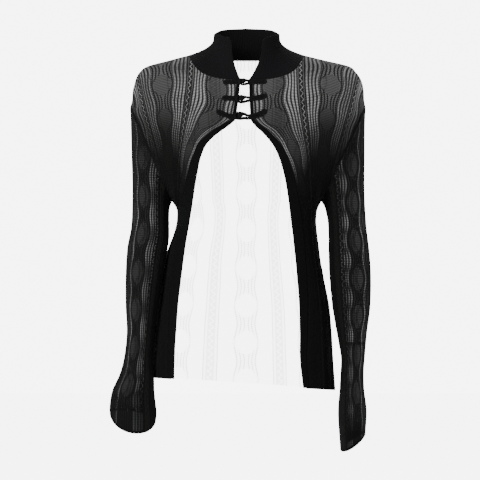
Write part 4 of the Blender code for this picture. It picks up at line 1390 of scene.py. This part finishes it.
def loop_route(knot, end, size):
    """The same for a loop, from its end round the knot's neck and back."""
    one_side = [(end - size * 0.0024, CORD_OUT, LOOP_HALF),
                (end - 0.0120, CORD_OUT, LOOP_HALF),
                (knot + size * 0.0150, CORD_OUT, LOOP_HALF),
                (knot + size * 0.0080, CORD_OUT, 0.0036),
                (knot + size * 0.0020, CORD_OUT, KNOT_SIDE),
                (knot - size * 0.0025, CORD_OUT + 0.0004, 0.0051),
                (knot - size * 0.0058, CORD_OUT + 0.0021, KNOT_SIDE),
                (knot - size * 0.0084, BIGHT_OUT, 0.0037),
                (knot - size * 0.0096, BIGHT_OUT, 0.0018)]
    route = mirrored(one_side, (knot - size * 0.0100, BIGHT_OUT, 0.0)) + [(end, CORD_OUT, 0.0)]
    return [(x, CORD_OUT + size * (out - CORD_OUT), size * off) for x, out, off in route]


print("points on a tab's route:", len(tab_route(-0.04, 0.0, 1.0)))


# %% Frogs
TAB_POINTS, LOOP_POINTS = 190, 260


def laid_cord(name, line, route, count, closed):
    """A twisted cord along a route on the cloth."""
    centres, away = lay(line, route)
    both = smooth_line(np.concatenate([centres, away], axis=1), count, closed=closed)
    return ply_cord(name, both[:, :3], unit(both[:, 3:]), LAID_WIDTH, LAID_THICK, closed)


for number in range(len(FROGS["knot"])):
    frog = {name: float(values[number]) for name, values in FROGS.items()}
    line = cord_line(frog)
    start, knot, end, size = (frog[key] for key in ("left_end", "knot", "right_end", "size"))
    name = f"look_frog_{number + 1}"
    parts = laid_cord(name + "_tab", line, tab_route(start, knot, size), TAB_POINTS, False)
    (centre,), (out_way,) = lay(line, [(knot, CORD_OUT + size * (KNOT_OUT - CORD_OUT), 0.0)])
    parts += ball_knot(name + "_ball", centre, out_way, np.array([1.0, 0, 0]), size * KNOT_RADIUS)
    piece = joined(parts, name + "_knot")
    finish_piece(piece, f"frog_{number + 1}_knot")
    parts = laid_cord(name + "_cord", line, loop_route(knot, end, size), LOOP_POINTS, True)
    piece = joined(parts, name + "_loop")
    finish_piece(piece, f"frog_{number + 1}_loop")
    print(name, "triangles:", triangles(piece))

# %% [markdown]
# ## Studio
# The jacket hangs in front of nothing but white. A curved backdrop would hide it
# when it is looked at from behind, so the surroundings are open: one wide pale
# floor and a white sky, which the camera sees brighter than the light they give.
# Soft lamps before and behind the jacket draw the knit's ridges.

# %% Floor
PAPER_WHITE = 6.80            # how bright the white surroundings look
PAPER_LIT = 1.6               # how much of that the lit floor has already
FLOOR, FLOOR_HALF = -0.86, 20   # height, and half the side


def camera_ray(tree):
    return tree.nodes.new("ShaderNodeLightPath").outputs["Is Camera Ray"]


floor_mesh = bpy.data.meshes.new("floor")
floor_corners = [(-1, -1), (1, -1), (1, 1), (-1, 1)]
floor_mesh.from_pydata([(x * FLOOR_HALF, y * FLOOR_HALF, FLOOR) for x, y in floor_corners],
                       [], [(0, 1, 2, 3)])
floor = bpy.data.objects.new("floor", floor_mesh)
paper = bpy.data.materials.new("paper")
paper.use_nodes = True
shader = paper.node_tree.nodes["Principled BSDF"]
shader.inputs["Base Color"].default_value = (0.92, 0.92, 0.92, 1)
shader.inputs["Roughness"].default_value = 0.9
shader.inputs["Emission Color"].default_value = (1, 1, 1, 1)
glow = paper.node_tree.nodes.new("ShaderNodeMath")
glow.operation = "MULTIPLY"
glow.inputs[1].default_value = PAPER_WHITE - PAPER_LIT
paper.node_tree.links.new(camera_ray(paper.node_tree), glow.inputs[0])
paper.node_tree.links.new(glow.outputs[0], shader.inputs["Emission Strength"])
floor.data.materials.append(paper)
bpy.context.scene.collection.objects.link(floor)
print("floor height:", FLOOR)

# %% Sky
SKY_LIGHT = 1.4               # how strongly it lights the jacket
world = bpy.data.worlds.new("room")
world.use_nodes = True
tree = world.node_tree
soft = tree.nodes["Background"]
soft.inputs["Color"].default_value = (0.93, 0.95, 1.0, 1)
soft.inputs["Strength"].default_value = SKY_LIGHT
white = tree.nodes.new("ShaderNodeBackground")
white.inputs["Color"].default_value = (1, 1, 1, 1)
white.inputs["Strength"].default_value = PAPER_WHITE
choice = tree.nodes.new("ShaderNodeMixShader")
tree.links.new(camera_ray(tree), choice.inputs["Fac"])
tree.links.new(soft.outputs["Background"], choice.inputs[1])
tree.links.new(white.outputs["Background"], choice.inputs[2])
tree.links.new(choice.outputs["Shader"], tree.nodes["World Output"].inputs["Surface"])
bpy.context.scene.world = world
print("sky:", world.name)

# %% Lamps
AIM = (0, 0, -0.3)            # all lamps look at the jacket's middle


def lamp(name, place, size, power):
    light = bpy.data.lights.new(name, "AREA")
    light.shape, light.size, light.energy = "SQUARE", size, power
    made = bpy.data.objects.new(name, light)
    made.location = place
    direction = np.array(AIM) - np.array(place)
    flat = math.hypot(direction[0], direction[1])
    made.rotation_euler = (math.atan2(flat, -direction[2]), 0,
                           math.atan2(direction[1], direction[0]) - math.pi / 2)
    bpy.context.scene.collection.objects.link(made)


lamp("key", (-1.8, -3.0, 1.4), 1.3, 420)
lamp("fill", (2.2, -3.0, 0.4), 2.2, 70)
lamp("rim", (0.6, 2.6, 1.2), 2.4, 60)
print("lights:", [light.name for light in bpy.data.lights])

# %% [markdown]
# From far off a garment shows hardly any perspective, so the camera stands far away
# with a long lens and sees both of the jacket's sides straight on. A near camera
# would make the front edges look wider than they are.

# %% Camera
DISTANCE, FIELD = 24.0, 0.888   # how far off it stands, and how wide it sees there
SENSOR = 36                     # width of its film, in mm
FARTHEST = 60                   # it sees as far as the floor's far side
MIDDLE, MIDDLE_HEIGHT = -0.012, -0.3395   # it looks at this place of the jacket
camera = bpy.data.objects.new("camera", bpy.data.cameras.new("camera"))
camera.data.sensor_width = SENSOR
camera.data.lens = SENSOR * DISTANCE / FIELD
camera.data.clip_end = FARTHEST
camera.location = (MIDDLE, -DISTANCE, MIDDLE_HEIGHT)
camera.rotation_euler = (math.pi / 2, 0, 0)
bpy.context.scene.collection.objects.link(camera)
bpy.context.scene.camera = camera
print("lens, mm:", round(camera.data.lens))
